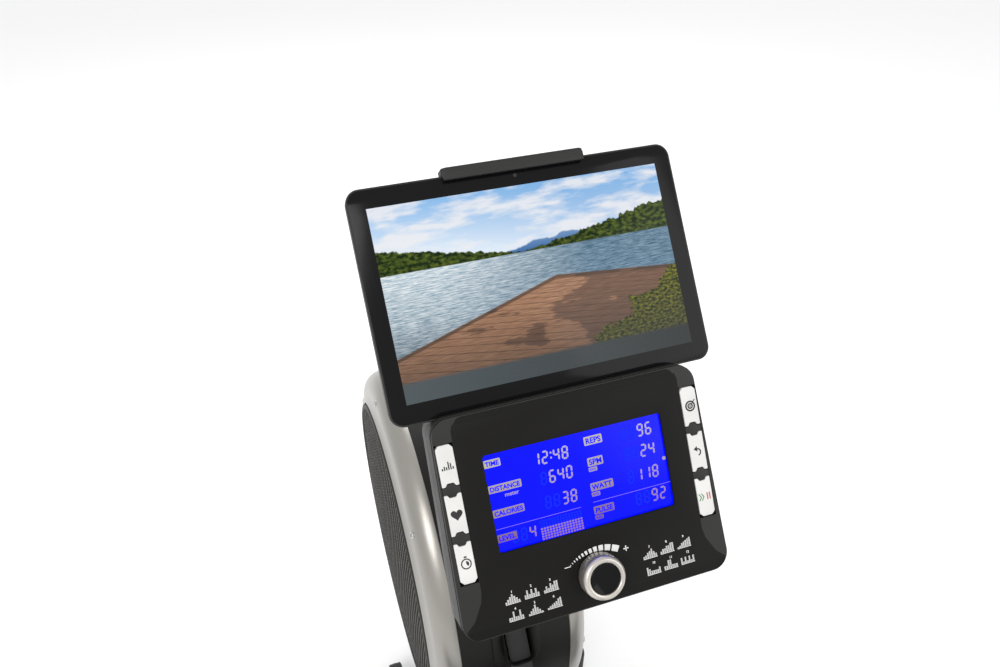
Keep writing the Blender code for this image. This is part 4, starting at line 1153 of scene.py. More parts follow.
# ---- tablet, its rest and the sprung clamp
def landscape():
    # lake, far hills, two wooded shores, a plank jetty, bushes and a dark band at the foot
    finish = Finish("lakePicture", (0.1, 0.2, 0.3), 0.12, Specular_IOR_Level=0.12, Emission_Strength=1.0)
    uv = finish.add("ShaderNodeUVMap", {"uv_map": "screen"})
    x, y, unused = finish.axes(uv)

    def soft(scale, detail=4.0, stretch=(1, 1, 1)):
        return finish.noise(scale, detail, stretch, uv)
    sky = finish.mix((y - 0.66) * 3.0, (0.72, 0.78, 0.84), (0.26, 0.47, 0.74))
    sky = finish.mix((x * 0.9 + (y - 0.7)).above(0.55, 0.6) * 0.55, sky, (0.12, 0.32, 0.62))
    cloud = (soft(4.0, 8, (1, 2.4, 1)) * 1.3 + soft(12, 6, (1, 2.0, 1)) * 0.55 - 0.95).above(0.0, 0.22)
    picture = finish.mix(cloud * 0.85, sky, (0.74, 0.74, 0.76))
    ridge = soft(5.5, 6, (1, 0.02, 1)) * 0.15 + 0.645 - (x - 0.62).size() * 0.22
    hill = finish.mix(((y - 0.66) * 9.0), (0.05, 0.14, 0.34), (0.22, 0.36, 0.56))
    picture = finish.mix((ridge - y).above(0.0, 0.008), picture, hill)
    leftWood = 0.660 + (0.44 - x).larger(0.0) * 0.27 + (soft(44, 4, (1, 0.3, 1)) - 0.5) * 0.05
    rightWood = 0.652 + (x - 0.50).larger(0.0) * 0.30 + (soft(36, 4, (1, 0.3, 1)) - 0.5) * 0.10 * x
    trees = finish.mix(((soft(55, 6) - 0.42) * 3.2), (0.004, 0.016, 0.002), (0.110, 0.150, 0.016))
    picture = finish.mix((leftWood - y).above(0.0, 0.006), picture, trees)
    picture = finish.mix((rightWood - y).above(0.0, 0.006), picture, trees)
    ripple = soft(22, 6, (1, 7.5, 1)) * 0.8 + soft(64, 4, (1, 6, 1)) * 0.45
    far = ((y - 0.20) * 2.1).smaller(1.0)
    deep = finish.mix(far, (0.070, 0.130, 0.180), (0.30, 0.42, 0.50))
    deep = finish.mix((x - 0.45).above(0.0, 0.5), deep, (0.045, 0.110, 0.170))
    glint = finish.mix(far, (0.42, 0.50, 0.56), (0.86, 0.88, 0.88))
    glint = finish.mix((x - 0.45).above(0.0, 0.5), glint, (0.20, 0.30, 0.40))
    water = finish.mix((ripple - 0.50) * 3.4, deep, glint)
    picture = finish.mix((0.650 - y).above(0.0, 0.004), picture, water)
    edge = (0.230 + x * 0.474).smaller(0.500 - (x - 0.57) * 0.14)
    run = (y * 0.90 + x * 0.26) / (1.30 - y)
    plank = (run * 24).fract()
    seam = (plank - 0.5).size().above(0.46, 0.03)
    grain = soft(16, 6, (1, 14, 1))
    wood = finish.mix((grain - 0.3) * 2.0, (0.200, 0.098, 0.056), (0.480, 0.270, 0.165))
    shade = (soft(5, 4, (1, 1.6, 1)) - 0.46 + (x - 0.5) * 0.5 - (y - 0.3).size() * 0.8).above(0.0, 0.04)
    wood = finish.mix(shade * 0.6, wood, (0.055, 0.032, 0.028))
    wood = finish.mix(seam * 0.7, wood, (0.045, 0.026, 0.018))
    picture = finish.mix((edge - y).above(0.0, 0.006), picture, wood)
    side = (edge - y).above(0.0, 0.004) * (y - edge + 0.018).above(0.0, 0.004)
    picture = finish.mix(side * 0.7, picture, (0.055, 0.035, 0.026))
    leaves = finish.mix((soft(80, 7) - 0.40) * 3.0, (0.008, 0.018, 0.002), (0.250, 0.240, 0.020))
    hedge = (0.33 + (soft(12, 6) - 0.5) * 0.30 - (0.86 - x).larger(0.0) * 1.05) + (x - 0.92).larger(0.0) * 1.6
    picture = finish.mix((hedge - y).above(0.0, 0.012) * x.above(0.62, 0.02), picture, leaves)
    footer = finish.mix(x, (0.070, 0.090, 0.100), (0.028, 0.032, 0.035))
    picture = finish.mix((0.24 - y).above(0.0, 0.30) * 0.6, picture, (0.030, 0.030, 0.030))
    picture = finish.mix((0.105 - y).above(0.0, 0.015) * 0.96, picture, footer)
    finish.feed("Base Color", finish.mix(0.9, picture, (0, 0, 0)))
    finish.feed("Emission Color", picture)
    finish.feed("Roughness", soft(9, 3) * 0.04 + 0.08)
    return finish


def tabletPieces():
    look = {"half": (0.1215, 0.082), "screen": (0.1085, 0.0678), "corner": 0.010, "thick": tabletThick}
    halfX, halfY = look["half"]
    body = flatShape(rounded(halfX, halfY, look["corner"], steps=10), -look["thick"], -0.0002, bevel=0.0018,
                     segments=5)
    keep("tabletBody", body, "side", "console", tabletFrame, ["tablet"], 35)
    glass = flatShape(rounded(halfX - 0.0012, halfY - 0.0012, look["corner"] - 0.0012, steps=10), -0.0006,
                      -0.00006,
                      bevel=0.0003, segments=2)
    keep("tabletGlass", glass, "blackGloss", "console", tabletFrame, smooth=35)
    finishes["picture"] = landscape()
    sx, sy = look["screen"]
    mesh = bpy.data.meshes.new("picture")
    mesh.from_pydata([(-sx, -sy, -0.00004), (sx, -sy, -0.00004), (sx, sy, -0.00004), (-sx, sy, -0.00004),
                      (-sx, -sy, -0.00020), (sx, -sy, -0.00020), (sx, sy, -0.00020), (-sx, sy, -0.00020)],
                     [],
                     [(0, 1, 2, 3), (7, 6, 5, 4), (0, 4, 5, 1), (1, 5, 6, 2), (2, 6, 7, 3), (3, 7, 4, 0)])
    layer = mesh.uv_layers.new(name="screen")
    for loop in mesh.loops:
        place = mesh.vertices[loop.vertex_index].co
        layer.data[loop.index].uv = ((place.x + sx) / (2 * sx), (place.y + sy) / (2 * sy))
    keep("tabletPicture", mesh, "picture", "console", tabletFrame, smooth=0)
    lens = lathe([(0.0, 0.0), (0.0, 0.0013), (0.00002, 0.0013), (0.00002, 0.0)], 20)
    lens.transform(Matrix.Translation((0.0, 0.0752, -0.00006)) @ Matrix.Rotation(radians(-90), 4, "Y"))
    keep("tabletEye", lens, "icon", "console", tabletFrame, smooth=0)
    back = -tabletThick - 0.0006
    rest = flatShape([(-0.050, -0.0810), (0.050, -0.0810), (0.050, 0.055), (0.036, 0.078), (-0.036, 0.078),
                      (-0.050, 0.055)],
                     back - 0.0052, back, bevel=0.0012, segments=3)
    slits = [block((a - 0.004, -0.045, back - 0.02), (a + 0.004, 0.035, 0.0),
                   0.0) for a in (-0.038, -0.019, 0.0, 0.019, 0.038)]
    keep("restPlate", cutAway(rest, *slits), "black", "console", tabletFrame, ["tablet_rest"],
         35)
    top = halfY
    bar = flatShape([(-0.053, -0.0088), (0.053, -0.0088), (0.053, 0.0026), (0.050, 0.0050),
                     (-0.050, 0.0050), (-0.053, 0.0026)],
                    top + 0.0005, top + 0.0050, bevel=0.0008, segments=3)
    bar.transform(Matrix.Rotation(radians(90), 4, "X"))
    swap = Matrix(((1, 0, 0, 0), (0, -1, 0, 0), (0, 0, 1, 0), (0, 0, 0, 1)))
    bar.transform(swap)
    bar.flip_normals()
    lip = flatShape([(-0.0525, top - 0.0038), (0.0525, top - 0.0038), (0.0525, top + 0.0026),
                     (0.0500, top + 0.0050),
                     (-0.0500, top + 0.0050), (-0.0525, top + 0.0026)], 0.0007, 0.0049, bevel=0.0007,
                    segments=3)
    arm = block((-0.030, top - 0.060, -tabletThick - 0.0113), (0.030, top + 0.0046, -tabletThick - 0.0068),
                0.001)
    link = block((-0.030, top + 0.0012, -tabletThick - 0.0098), (0.030, top + 0.0046, -0.001), 0.0006)
    keep("clampBar", merged([bar, lip, arm, link]), "side", "tablet_clamp", tabletFrame, ["tablet_clamp"],
         35)


# ---- frame, rail and feet
def nodeBody(node):
    body = body_of(nodes[node])
    return body if isinstance(body, str) else body[0]


def refined(node, finish, width=0.0008, segments=2, angle=30, smooth=40):
    # the node's own shape with merged corners and rounded edges
    mesh = nodes[node].data.copy()
    mesh.transform(nodes[node].matrix_world)
    work = bmesh.new()
    work.from_mesh(mesh)
    bmesh.ops.remove_doubles(work, verts=work.verts, dist=0.00001)
    bmesh.ops.dissolve_limit(work, angle_limit=radians(1), verts=work.verts, edges=work.edges)
    work.to_mesh(mesh)
    work.free()
    if width:
        mesh = bevelled(mesh, width, segments, angle)
    body = nodeBody(node)
    return keep(node + "Skin", mesh, finish, body, replaced=[node], smooth=smooth)


def dress(finish, *words):
    for node in words:
        if node in nodes:
            data = nodes[node].data
            data.materials.clear()
            data.materials.append(finishes[finish].material)


def turnedAt(profile, place, steps=48):
    return lathe(profile, steps, matrix=Matrix.Translation(place))


def boltHead(radius=0.0085, height=0.0055):
    # a hexagonal head on its washer, pointing along Z
    head = lathe([(0.0012, 0.0), (0.0012, radius), (height, radius), (height, 0.0)], 6)
    head = bevelled(head, 0.0007, 2, 30)
    washer = lathe([(0.0, 0.0), (0.0, radius * 1.35), (0.0010, radius * 1.4), (0.0014, radius * 1.3),
                    (0.0014, 0.0)], 28)
    both = merged([head, washer])
    both.transform(Matrix.Rotation(radians(-90), 4, "Y"))
    return both


def frameParts():
    look = {"mast": 0.019, "corner": 0.007, "tube": 0.0254, "rearTube": 0.022, "bore": 0.0224}
    refined("main_frame", "paint", 0.0010, 2)
    route = curveThrough([(0, 0.700, 0.5735), (0, 0.700, 0.640), (0, 0.690, 0.700), (0, 0.655, 0.745),
                          (0, 0.600, 0.775), (0, 0.540, 0.797), (0, 0.492, 0.8100)], 8)
    mast = sweep(route, rounded(look["mast"], look["mast"], look["corner"], steps=5))
    pivot = Vector(joints["console_tilt"]["pos_m"])
    knuckle = lathe([(-0.0188, 0.0043), (-0.0188, 0.0098), (-0.0180, 0.0105), (0.0180, 0.0105),
                     (0.0188, 0.0098),
                     (0.0188, 0.0043), (-0.0188, 0.0043)], 40, matrix=Matrix.Translation(pivot))
    neck = block((-0.0165, pivot.y + 0.007, pivot.z - 0.0115), (0.0165, 0.499, pivot.z + 0.0025), 0.002)
    keep("mastSkin", merged([mast, knuckle, neck]), "band", "frame", replaced=["console_mast"],
         smooth=35)
    gasket = sweep([(0, 0.700, discCentre.z + discRadius * 0.955),
                    (0, 0.700, discCentre.z + discRadius * 0.975),
                    (0, 0.700, discCentre.z + discRadius * 0.995)], rounded(0.0228, 0.0228, 0.009, steps=5))
    keep("mastGasket", bevelled(gasket, 0.0015, 2, 40), "rubber", "frame", smooth=35)
    reach = 0.1312
    tubeProfile = [(-reach, look["bore"]), (-reach, look["tube"]), (reach, look["tube"]),
                   (reach, look["bore"]),
                   (-reach, look["bore"])]
    shapes = [turnedAt(tubeProfile, (0, 0.740, 0.055), 64)]
    wheelX, wheelY, wheelZ = joints["right_wheel_spin"]["pos_m"]
    for side in (-1, 1):
        lug = flatShape([(0.744, 0.036), (wheelY - 0.002, 0.0225), (wheelY + 0.008, 0.0245),
                         (wheelY + 0.013, 0.032),
                         (wheelY + 0.009, 0.0405), (wheelY + 0.001, 0.044), (0.752, 0.076)], -0.002, 0.002,
                        bevel=0.0006)
        lug.transform(Matrix.Translation((side * (wheelX - 0.015), 0, 0)) @ alongX)
        shapes += [lug, turnedAt([(-0.014, 0.0), (-0.014, 0.005), (0.0125, 0.005), (0.014, 0.0040),
                                  (0.014, 0.0)],
                                 (side * (wheelX - 0.001), wheelY, wheelZ), 24)]
    keep("frontTubeSkin", merged(shapes), "paint", "frame", replaced=["front_stabilizer"],
         smooth=35)
    radius = look["rearTube"]
    shapes = [turnedAt([(-0.1998, 0.019), (-0.1998, radius), (0.1998, radius), (0.1998, 0.019),
                        (-0.1998, 0.019)],
                       (0, -0.930, 0.050), 64)]
    low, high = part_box("rear_stand")
    post = block((-0.0250, -0.952, 0.0600), (0.0250, -0.908, high.z), 0.004)
    plate = block((-0.0250, -0.952, high.z - 0.004), (0.0250, -0.908, high.z), 0.001)
    shapes += [post, plate]
    keep("rearStandSkin", merged(shapes), "paint", "rail", replaced=["rear_stand"],
         smooth=35)
    for word, body in (("front_cap_left", "frame"), ("front_cap_right", "frame"), ("rear_cap_left", "rail"),
                       ("rear_cap_right", "rail")):
        low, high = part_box(word)
        cap = block(tuple(low), tuple(high), 0.013, 6)
        slices = []
        for i in range(3):
            a = low.x + 0.016 + 0.009 * i
            outer = block((a, low.y - 0.01, -0.01), (a + 0.0016, high.y + 0.01, high.z + 0.01))
            inner = block((a - 0.001, low.y + 0.0012, -0.02), (a + 0.003, high.y - 0.0012, high.z - 0.0012),
                          0.012, 5)
            slices.append(cutAway(outer, inner))
        keep(word.replace("_", "") + "Skin", cutAway(cap, *slices), "rubber", body, replaced=[word],
             smooth=35)
    for side, word in ((-1, "left"), (1, "right")):
        tyre = [(-0.0060, 0.0056), (-0.0060, 0.0110), (-0.0020, 0.0120), (-0.0020, 0.0175),
                (-0.0100, 0.0185),
                (-0.0100, 0.0225), (-0.0085, 0.0245), (-0.0060, 0.0250), (-0.0045, 0.0243),
                (-0.0030, 0.0250),
                (0.0030, 0.0250), (0.0045, 0.0243), (0.0060, 0.0250), (0.0085, 0.0245), (0.0100, 0.0225),
                (0.0100, 0.0185), (0.0020, 0.0175), (0.0020, 0.0120), (0.0060, 0.0110), (0.0060, 0.0056),
                (-0.0060, 0.0056)]
        wheel = turnedAt(tyre, (side * wheelX, wheelY, wheelZ), 48)
        spokes = []
        for i in range(5):
            spoke = block((-0.0055, -0.0016, 0.0105), (0.0055, 0.0016, 0.0186))
            spoke.transform(Matrix.Translation((side * wheelX, wheelY,
                                                wheelZ)) @ Matrix.Rotation(radians(72 * i), 4, "X"))
            spokes.append(spoke)
        keep(word + "WheelSkin", merged([wheel, *spokes]), "rubber", word + "_transport_wheel",
             replaced=[word + "_transport_wheel"], smooth=35)


def railParts():
    look = {"half": 0.030, "height": 0.050, "wall": 0.004, "rear": -0.985, "front": 0.355, "z": 0.300,
            "groove": 0.0018,
            "mouth": 0.0058}
    half, tall, wall, z = look["half"], look["height"] / 2, look["wall"], look["z"]
    g, m = look["groove"], look["mouth"]
    outer = [(half, tall - 0.001), (half - 0.001, tall), (0.0262, tall), (0.0258, tall - 0.0005),
             (0.0115, tall - 0.0005),
             (0.0111, tall), (-0.0111, tall), (-0.0115, tall - 0.0005), (-0.0258, tall - 0.0005),
             (-0.0262, tall),
             (-half + 0.001, tall), (-half, tall - 0.001), (-half, m), (-half + g, m - 0.0004),
             (-half + g, -m + 0.0004),
             (-half, -m), (-half, -tall + 0.001), (-half + 0.001, -tall), (half - 0.001, -tall),
             (half, -tall + 0.001),
             (half, -m), (half - g, -m + 0.0004), (half - g, m - 0.0004), (half, m)]
    inner = rounded(half - wall, tall - wall, 0.001, steps=2)[::-1]
    middle, reach = (look["front"] + look["rear"]) / 2, (look["front"] - look["rear"]) / 2 - 0.0003
    body = flatShape(outer, -reach, reach, [inner])
    body.transform(Matrix.Translation((0, middle, z)) @ Matrix.Rotation(radians(90), 4, "X"))
    bore = turnedAt([(-0.1, 0.0), (-0.1, 0.0064), (0.1, 0.0064), (0.1, 0.0)], joints["rail_fold"]["pos_m"],
                    32)
    keep("railSkin", cutAway(body, bore), "alloy", "rail", replaced=["rail"], smooth=25)
    tracks = [block((side * 0.0187 - 0.0065, look["rear"] + 0.02, z + tall - 0.0005),
                    (side * 0.0187 + 0.0065, 0.280,
                     z + tall - 0.00005), 0.0001, 1)
              for side in (-1, 1)]
    keep("railTracks", merged(tracks), "steel", "rail", smooth=25)
    low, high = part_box("rear_stop")
    stop = block(tuple(low), tuple(high), 0.0065, 5)
    recess = block((-0.024, low.y - 0.01, low.z + 0.016), (0.024, low.y + 0.0016, high.z - 0.016), 0.0008)
    keep("rearStopSkin", cutAway(stop, recess), "rubber", "rail", replaced=["rear_stop"],
         smooth=35)
    bolts = [(Vector((0.0390, 0.330, 0.300)), Vector((1, 0, 0))),
             (Vector((-0.0390, 0.330, 0.300)), Vector((-1, 0, 0)))]
    keep("hingeBolts", scattered(screwTree, boltHead(0.0090, 0.0048), bolts), None, "frame",
         smooth=30)
    dress("steel", "rail_hinge_pin")
    place = Vector((0, 0.312, 0.280))
    pin = [(0.0322, 0.0), (0.0322, 0.0046), (0.0328, 0.005), (0.0425, 0.005), (0.0425, 0.0085),
           (0.0432, 0.0100),
           (0.0450, 0.0122), (0.0470, 0.0129), (0.0610, 0.0129), (0.0632, 0.0112), (0.0639, 0.0080),
           (0.0640, 0.0)]
    knob = lathe(pin, 96)
    for vertex in knob.vertices:
        reach = math.hypot(vertex.co.y, vertex.co.z)
        if 0.0465 < vertex.co.x < 0.0622 and reach > 0.0110:
            shrink = 1 - 0.07 * (0.5 + 0.5 * cos(12 * math.atan2(vertex.co.z, vertex.co.y))) ** 2
            vertex.co.y *= shrink
            vertex.co.z *= shrink
    knob.transform(Matrix.Translation(place))
    keep("foldPinSkin", knob, "rubber", "fold_pin", replaced=["fold_pin"], smooth=50)


# ---- seat
seat = {"halfX": 0.1535, "halfY": 0.1185, "low": 0.3788, "high": 0.4440, "around": 120, "corner": 3.4,
        "pressure": 2.2,
        "frames": 16, "cap": 0.006, "middle": -0.100}


def seatPoint(turn, share, height):
    # a squarish plan outline, narrower at the front and drawn in between its corners
    power = 2.0 / seat["corner"]
    c, s = cos(turn), sin(turn)
    x = seat["halfX"] * math.copysign(abs(c) ** power, c) * share
    y = seat["halfY"] * math.copysign(abs(s) ** power, s) * share
    x *= 1 - 0.05 * max(0.0, y / seat["halfY"])
    return Vector((x, y, height))


def seatTop(x, y):
    # two shallow hollows, a raised rear edge and a relief at the front middle
    u, v = x / seat["halfX"], y / seat["halfY"]
    hollow = sum(math.exp(-((u - side * 0.45) ** 2 / 0.10 + (v + 0.10) ** 2 / 0.22)) for side in (-1, 1))
    relief = math.exp(-(u ** 2 / 0.02)) * (0.5 + 0.5 * v)
    return -0.0100 * hollow - 0.0050 * relief + 0.0050 * max(0.0, -v) ** 2


def seatCushion():
    s = seat
    around = s["around"]
    rings = [(r, s["low"]) for r in (0.12, 0.3, 0.5, 0.7, 0.86, 0.955)]
    rings += [(0.985, s["low"] + 0.0035), (0.998, s["low"] + 0.010), (1.0, s["low"] + 0.020),
              (1.0, s["low"] + 0.030),
              (0.994, s["low"] + 0.040), (0.980, s["high"] - 0.018), (0.955, s["high"] - 0.011),
              (0.925, s["high"] - 0.0065)]
    seamRing = len(rings) - 2
    rings += [(r, s["high"] - 0.0030 * r) for r in (0.88, 0.83, 0.77, 0.70, 0.63, 0.56, 0.49, 0.42, 0.35,
                                                    0.28, 0.21, 0.14, 0.07)]
    work = bmesh.new()
    table = []
    for share, height in rings:
        row = []
        for i in range(around):
            point = seatPoint(2 * pi * i / around, share, height)
            if height > s["high"] - 0.012:
                point.z += seatTop(point.x, point.y) * min(1.0, (1.0 - share) * 7)
            row.append(work.verts.new(point))
        table.append(row)
    for first, second in zip(table, table[1:]):
        for i in range(around):
            k = (i + 1) % around
            work.faces.new((first[i], first[k], second[k], second[i]))
    foot = work.verts.new((0, 0, s["low"]))
    crown = work.verts.new((0, 0, s["high"] + seatTop(0, 0)))
    for i in range(around):
        k = (i + 1) % around
        work.faces.new((foot, table[0][k], table[0][i]))
        work.faces.new((crown, table[-1][i], table[-1][k]))
    bmesh.ops.recalc_face_normals(work, faces=work.faces)
    mesh = bpy.data.meshes.new("cushion")
    work.to_mesh(mesh)
    work.free()
    before = [v.co.copy() for v in mesh.vertices]
    piece = draft(mesh)
    pinned = piece.vertex_groups.new(name="pinned")
    pinned.add([v.index for v in mesh.vertices if v.co.z < s["low"] + 0.002], 1.0, "REPLACE")
    seamIndices = [seamRing * around + i for i in range(around)]
    pinned.add(seamIndices, 0.85, "REPLACE")
    cloth = piece.modifiers.new("puff", "CLOTH")
    cloth.settings.quality = 6
    cloth.settings.use_pressure = True
    cloth.settings.uniform_pressure_force = s["pressure"]
    cloth.settings.tension_stiffness = 12
    cloth.settings.compression_stiffness = 12
    cloth.settings.vertex_group_mass = "pinned"
    cloth.settings.effector_weights.gravity = 0
    cloth.point_cache.frame_end = s["frames"]
    for frame in range(1, s["frames"] + 1):
        bpy.context.scene.frame_set(frame)
    mesh = baked(piece)
    bpy.context.scene.frame_set(1)
    for vertex, start in zip(mesh.vertices, before):
        move = vertex.co - start
        if move.length > s["cap"]:
            vertex.co = start + move.normalized() * s["cap"]
    for vertex in mesh.vertices:
        if vertex.index // around == seamRing:
            vertex.co.z -= 0.0016
            vertex.co.x *= 0.996
            vertex.co.y *= 0.996
        channel = math.exp(-(vertex.co.x / 0.0040) ** 2) * (0.0026 if vertex.co.z > s["high"] - 0.03 else 0.0)
        vertex.co.z -= channel
        vertex.co.z = min(max(vertex.co.z, s["low"]), 0.4546)
    seam = [mesh.vertices[seamRing * around + i].co.copy() for i in range(around)]
    piece = draft(mesh)
    finer = piece.modifiers.new("finer", "SUBSURF")
    finer.levels = 2
    finer.render_levels = 2
    mesh = baked(piece)
    place = Matrix.Translation((0, s["middle"], 0))
    cushion = keep("seatCushion", mesh, "vinyl", "seat", place, ["seat_pad"], 80)
    bead = bmesh.new()
    loops = []
    for i, point in enumerate(seam):
        along = (seam[(i + 1) % around] - seam[i - 1]).normalized()
        out = along.cross(Vector((0, 0, 1))).normalized()
        up = out.cross(along).normalized()
        centre = point + Vector((0, 0, 0.0010)) + out * 0.0004
        loops.append([bead.verts.new(centre + out * 0.0014 * cos(radians(60 * k))
                                     + up * 0.0014 * sin(radians(60 * k)))
                      for k in range(6)])
    for i in range(around):
        first, second = loops[i], loops[(i + 1) % around]
        for k in range(6):
            bead.faces.new((first[k], first[(k + 1) % 6], second[(k + 1) % 6], second[k]))
    bmesh.ops.recalc_face_normals(bead, faces=bead.faces)
    piping = bpy.data.meshes.new("piping")
    bead.to_mesh(piping)
    bead.free()
    keep("seatPiping", piping, "vinyl", "seat", place, smooth=80)
    stitches = []
    for i in range(around * 2):
        a, b = seam[(i // 2) % around], seam[(i // 2 + 1) % around]
        point = a.lerp(b, 0.5 * (i % 2) + 0.25)
        inward = Vector((-point.x, -point.y, 0)).normalized()
        stitches.append((point + inward * 0.0068 + Vector((0, s["middle"], 0.0024)),
                         Vector((0, 0, 1)) - inward * 0.3,
                         (b - a).normalized()))
    keep("seatStitches", sewn(stitches), None, "seat", smooth=0)


def stitchTree():
    tree = Tree("stitches", {"Shape": ("NodeSocketObject", None)})
    shape = tree.add("GeometryNodeObjectInfo", {}, {0: tree.given("Shape")})
    facing = tree.add("GeometryNodeInputNamedAttribute", {"data_type": "FLOAT_VECTOR"},
                      {0: "facing"}).outputs[0]
    along = tree.add("GeometryNodeInputNamedAttribute", {"data_type": "FLOAT_VECTOR"},
                     {0: "along"}).outputs[0]
    first = tree.add("FunctionNodeAlignRotationToVector", {"axis": "Z"}, {"Vector": facing})
    second = tree.add("FunctionNodeAlignRotationToVector", {"axis": "X", "pivot_axis": "Z"},
                      {"Rotation": first.outputs[0], "Vector": along})
    copies = tree.add("GeometryNodeInstanceOnPoints", {}, {
        "Points": tree.input.outputs[0], "Instance": shape.outputs["Geometry"],
                                                           "Rotation": second.outputs[0]})
    return tree.close(copies.outputs[0], "thread")


def sewn(spots, long=0.0030, thick=0.0005):
    mesh = bpy.data.meshes.new("spots")
    mesh.from_pydata([tuple(place) for place, facing, along in spots], [], [])
    for label, which in (("facing", 1), ("along", 2)):
        layer = mesh.attributes.new(label, "FLOAT_VECTOR", "POINT")
        layer.data.foreach_set("vector", [c for spot in spots for c in spot[which]])
    thread = lathe([(-long / 2, 0.0), (-long / 2 + thick * 0.4, thick * 0.8), (-long / 4, thick),
                    (long / 4, thick),
                    (long / 2 - thick * 0.4, thick * 0.8), (long / 2, 0.0)], 6)
    pattern = draft(thread)
    made = threads.run(mesh, Shape=pattern)
    bpy.data.objects.remove(pattern)
    return made


def seatCarriage():
    low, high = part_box("seat_carriage")
    y0, y1 = low.y, high.y
    deck = block((-0.0440, y0, high.z - 0.0040), (0.0440, y1, high.z), 0.0012)
    shapes = [deck]
    for side in (-1, 1):
        flank = flatShape([(y0 + 0.006, low.z), (y1 - 0.006, low.z), (y1, low.z + 0.008),
                           (y1, high.z - 0.002),
                           (y0, high.z - 0.002), (y0, low.z + 0.008)], -0.003, 0.003,
                          [rounded(0.020, 0.014, 0.010, ((y0 + y1) / 2, (low.z + high.z) / 2 - 0.006),
                                   5)[::-1]], 0.0009)
        flank.transform(Matrix.Translation((side * 0.041, 0, 0)) @ alongX)
        shapes.append(flank)
    keep("carriageSkin", merged(shapes), "paint", "seat", replaced=["seat_carriage"],
         smooth=30)
    bolts = []
    for joint in ("front_roller_spin", "rear_roller_spin"):
        place = Vector(joints[joint]["pos_m"])
        bolts += [(Vector((side * 0.0442, place.y, place.z)), Vector((side, 0, 0))) for side in (-1, 1)]
    keep("carriageBolts", scattered(screwTree, boltHead(0.0070, 0.0040), bolts), None, "seat",
         smooth=30)
    for word in ("front", "rear"):
        place = Vector(joints[word + "_roller_spin"]["pos_m"])
        r = 0.0177
        shape = [(-0.0440, 0.0), (-0.0440, 0.0046), (-0.0285, 0.0046), (-0.0285, r - 0.002), (-0.0270, r),
                 (-0.0135, r),
                 (-0.0120, r - 0.002), (-0.0120, 0.0050), (0.0120, 0.0050), (0.0120, r - 0.002),
                 (0.0135, r), (0.0270, r),
                 (0.0285, r - 0.002), (0.0285, 0.0046), (0.0440, 0.0046), (0.0440, 0.0)]
        keep(word + "RollerSkin", turnedAt(shape, place, 56), "rubber", word + "_roller",
             replaced=[word + "_roller"],
             smooth=30)


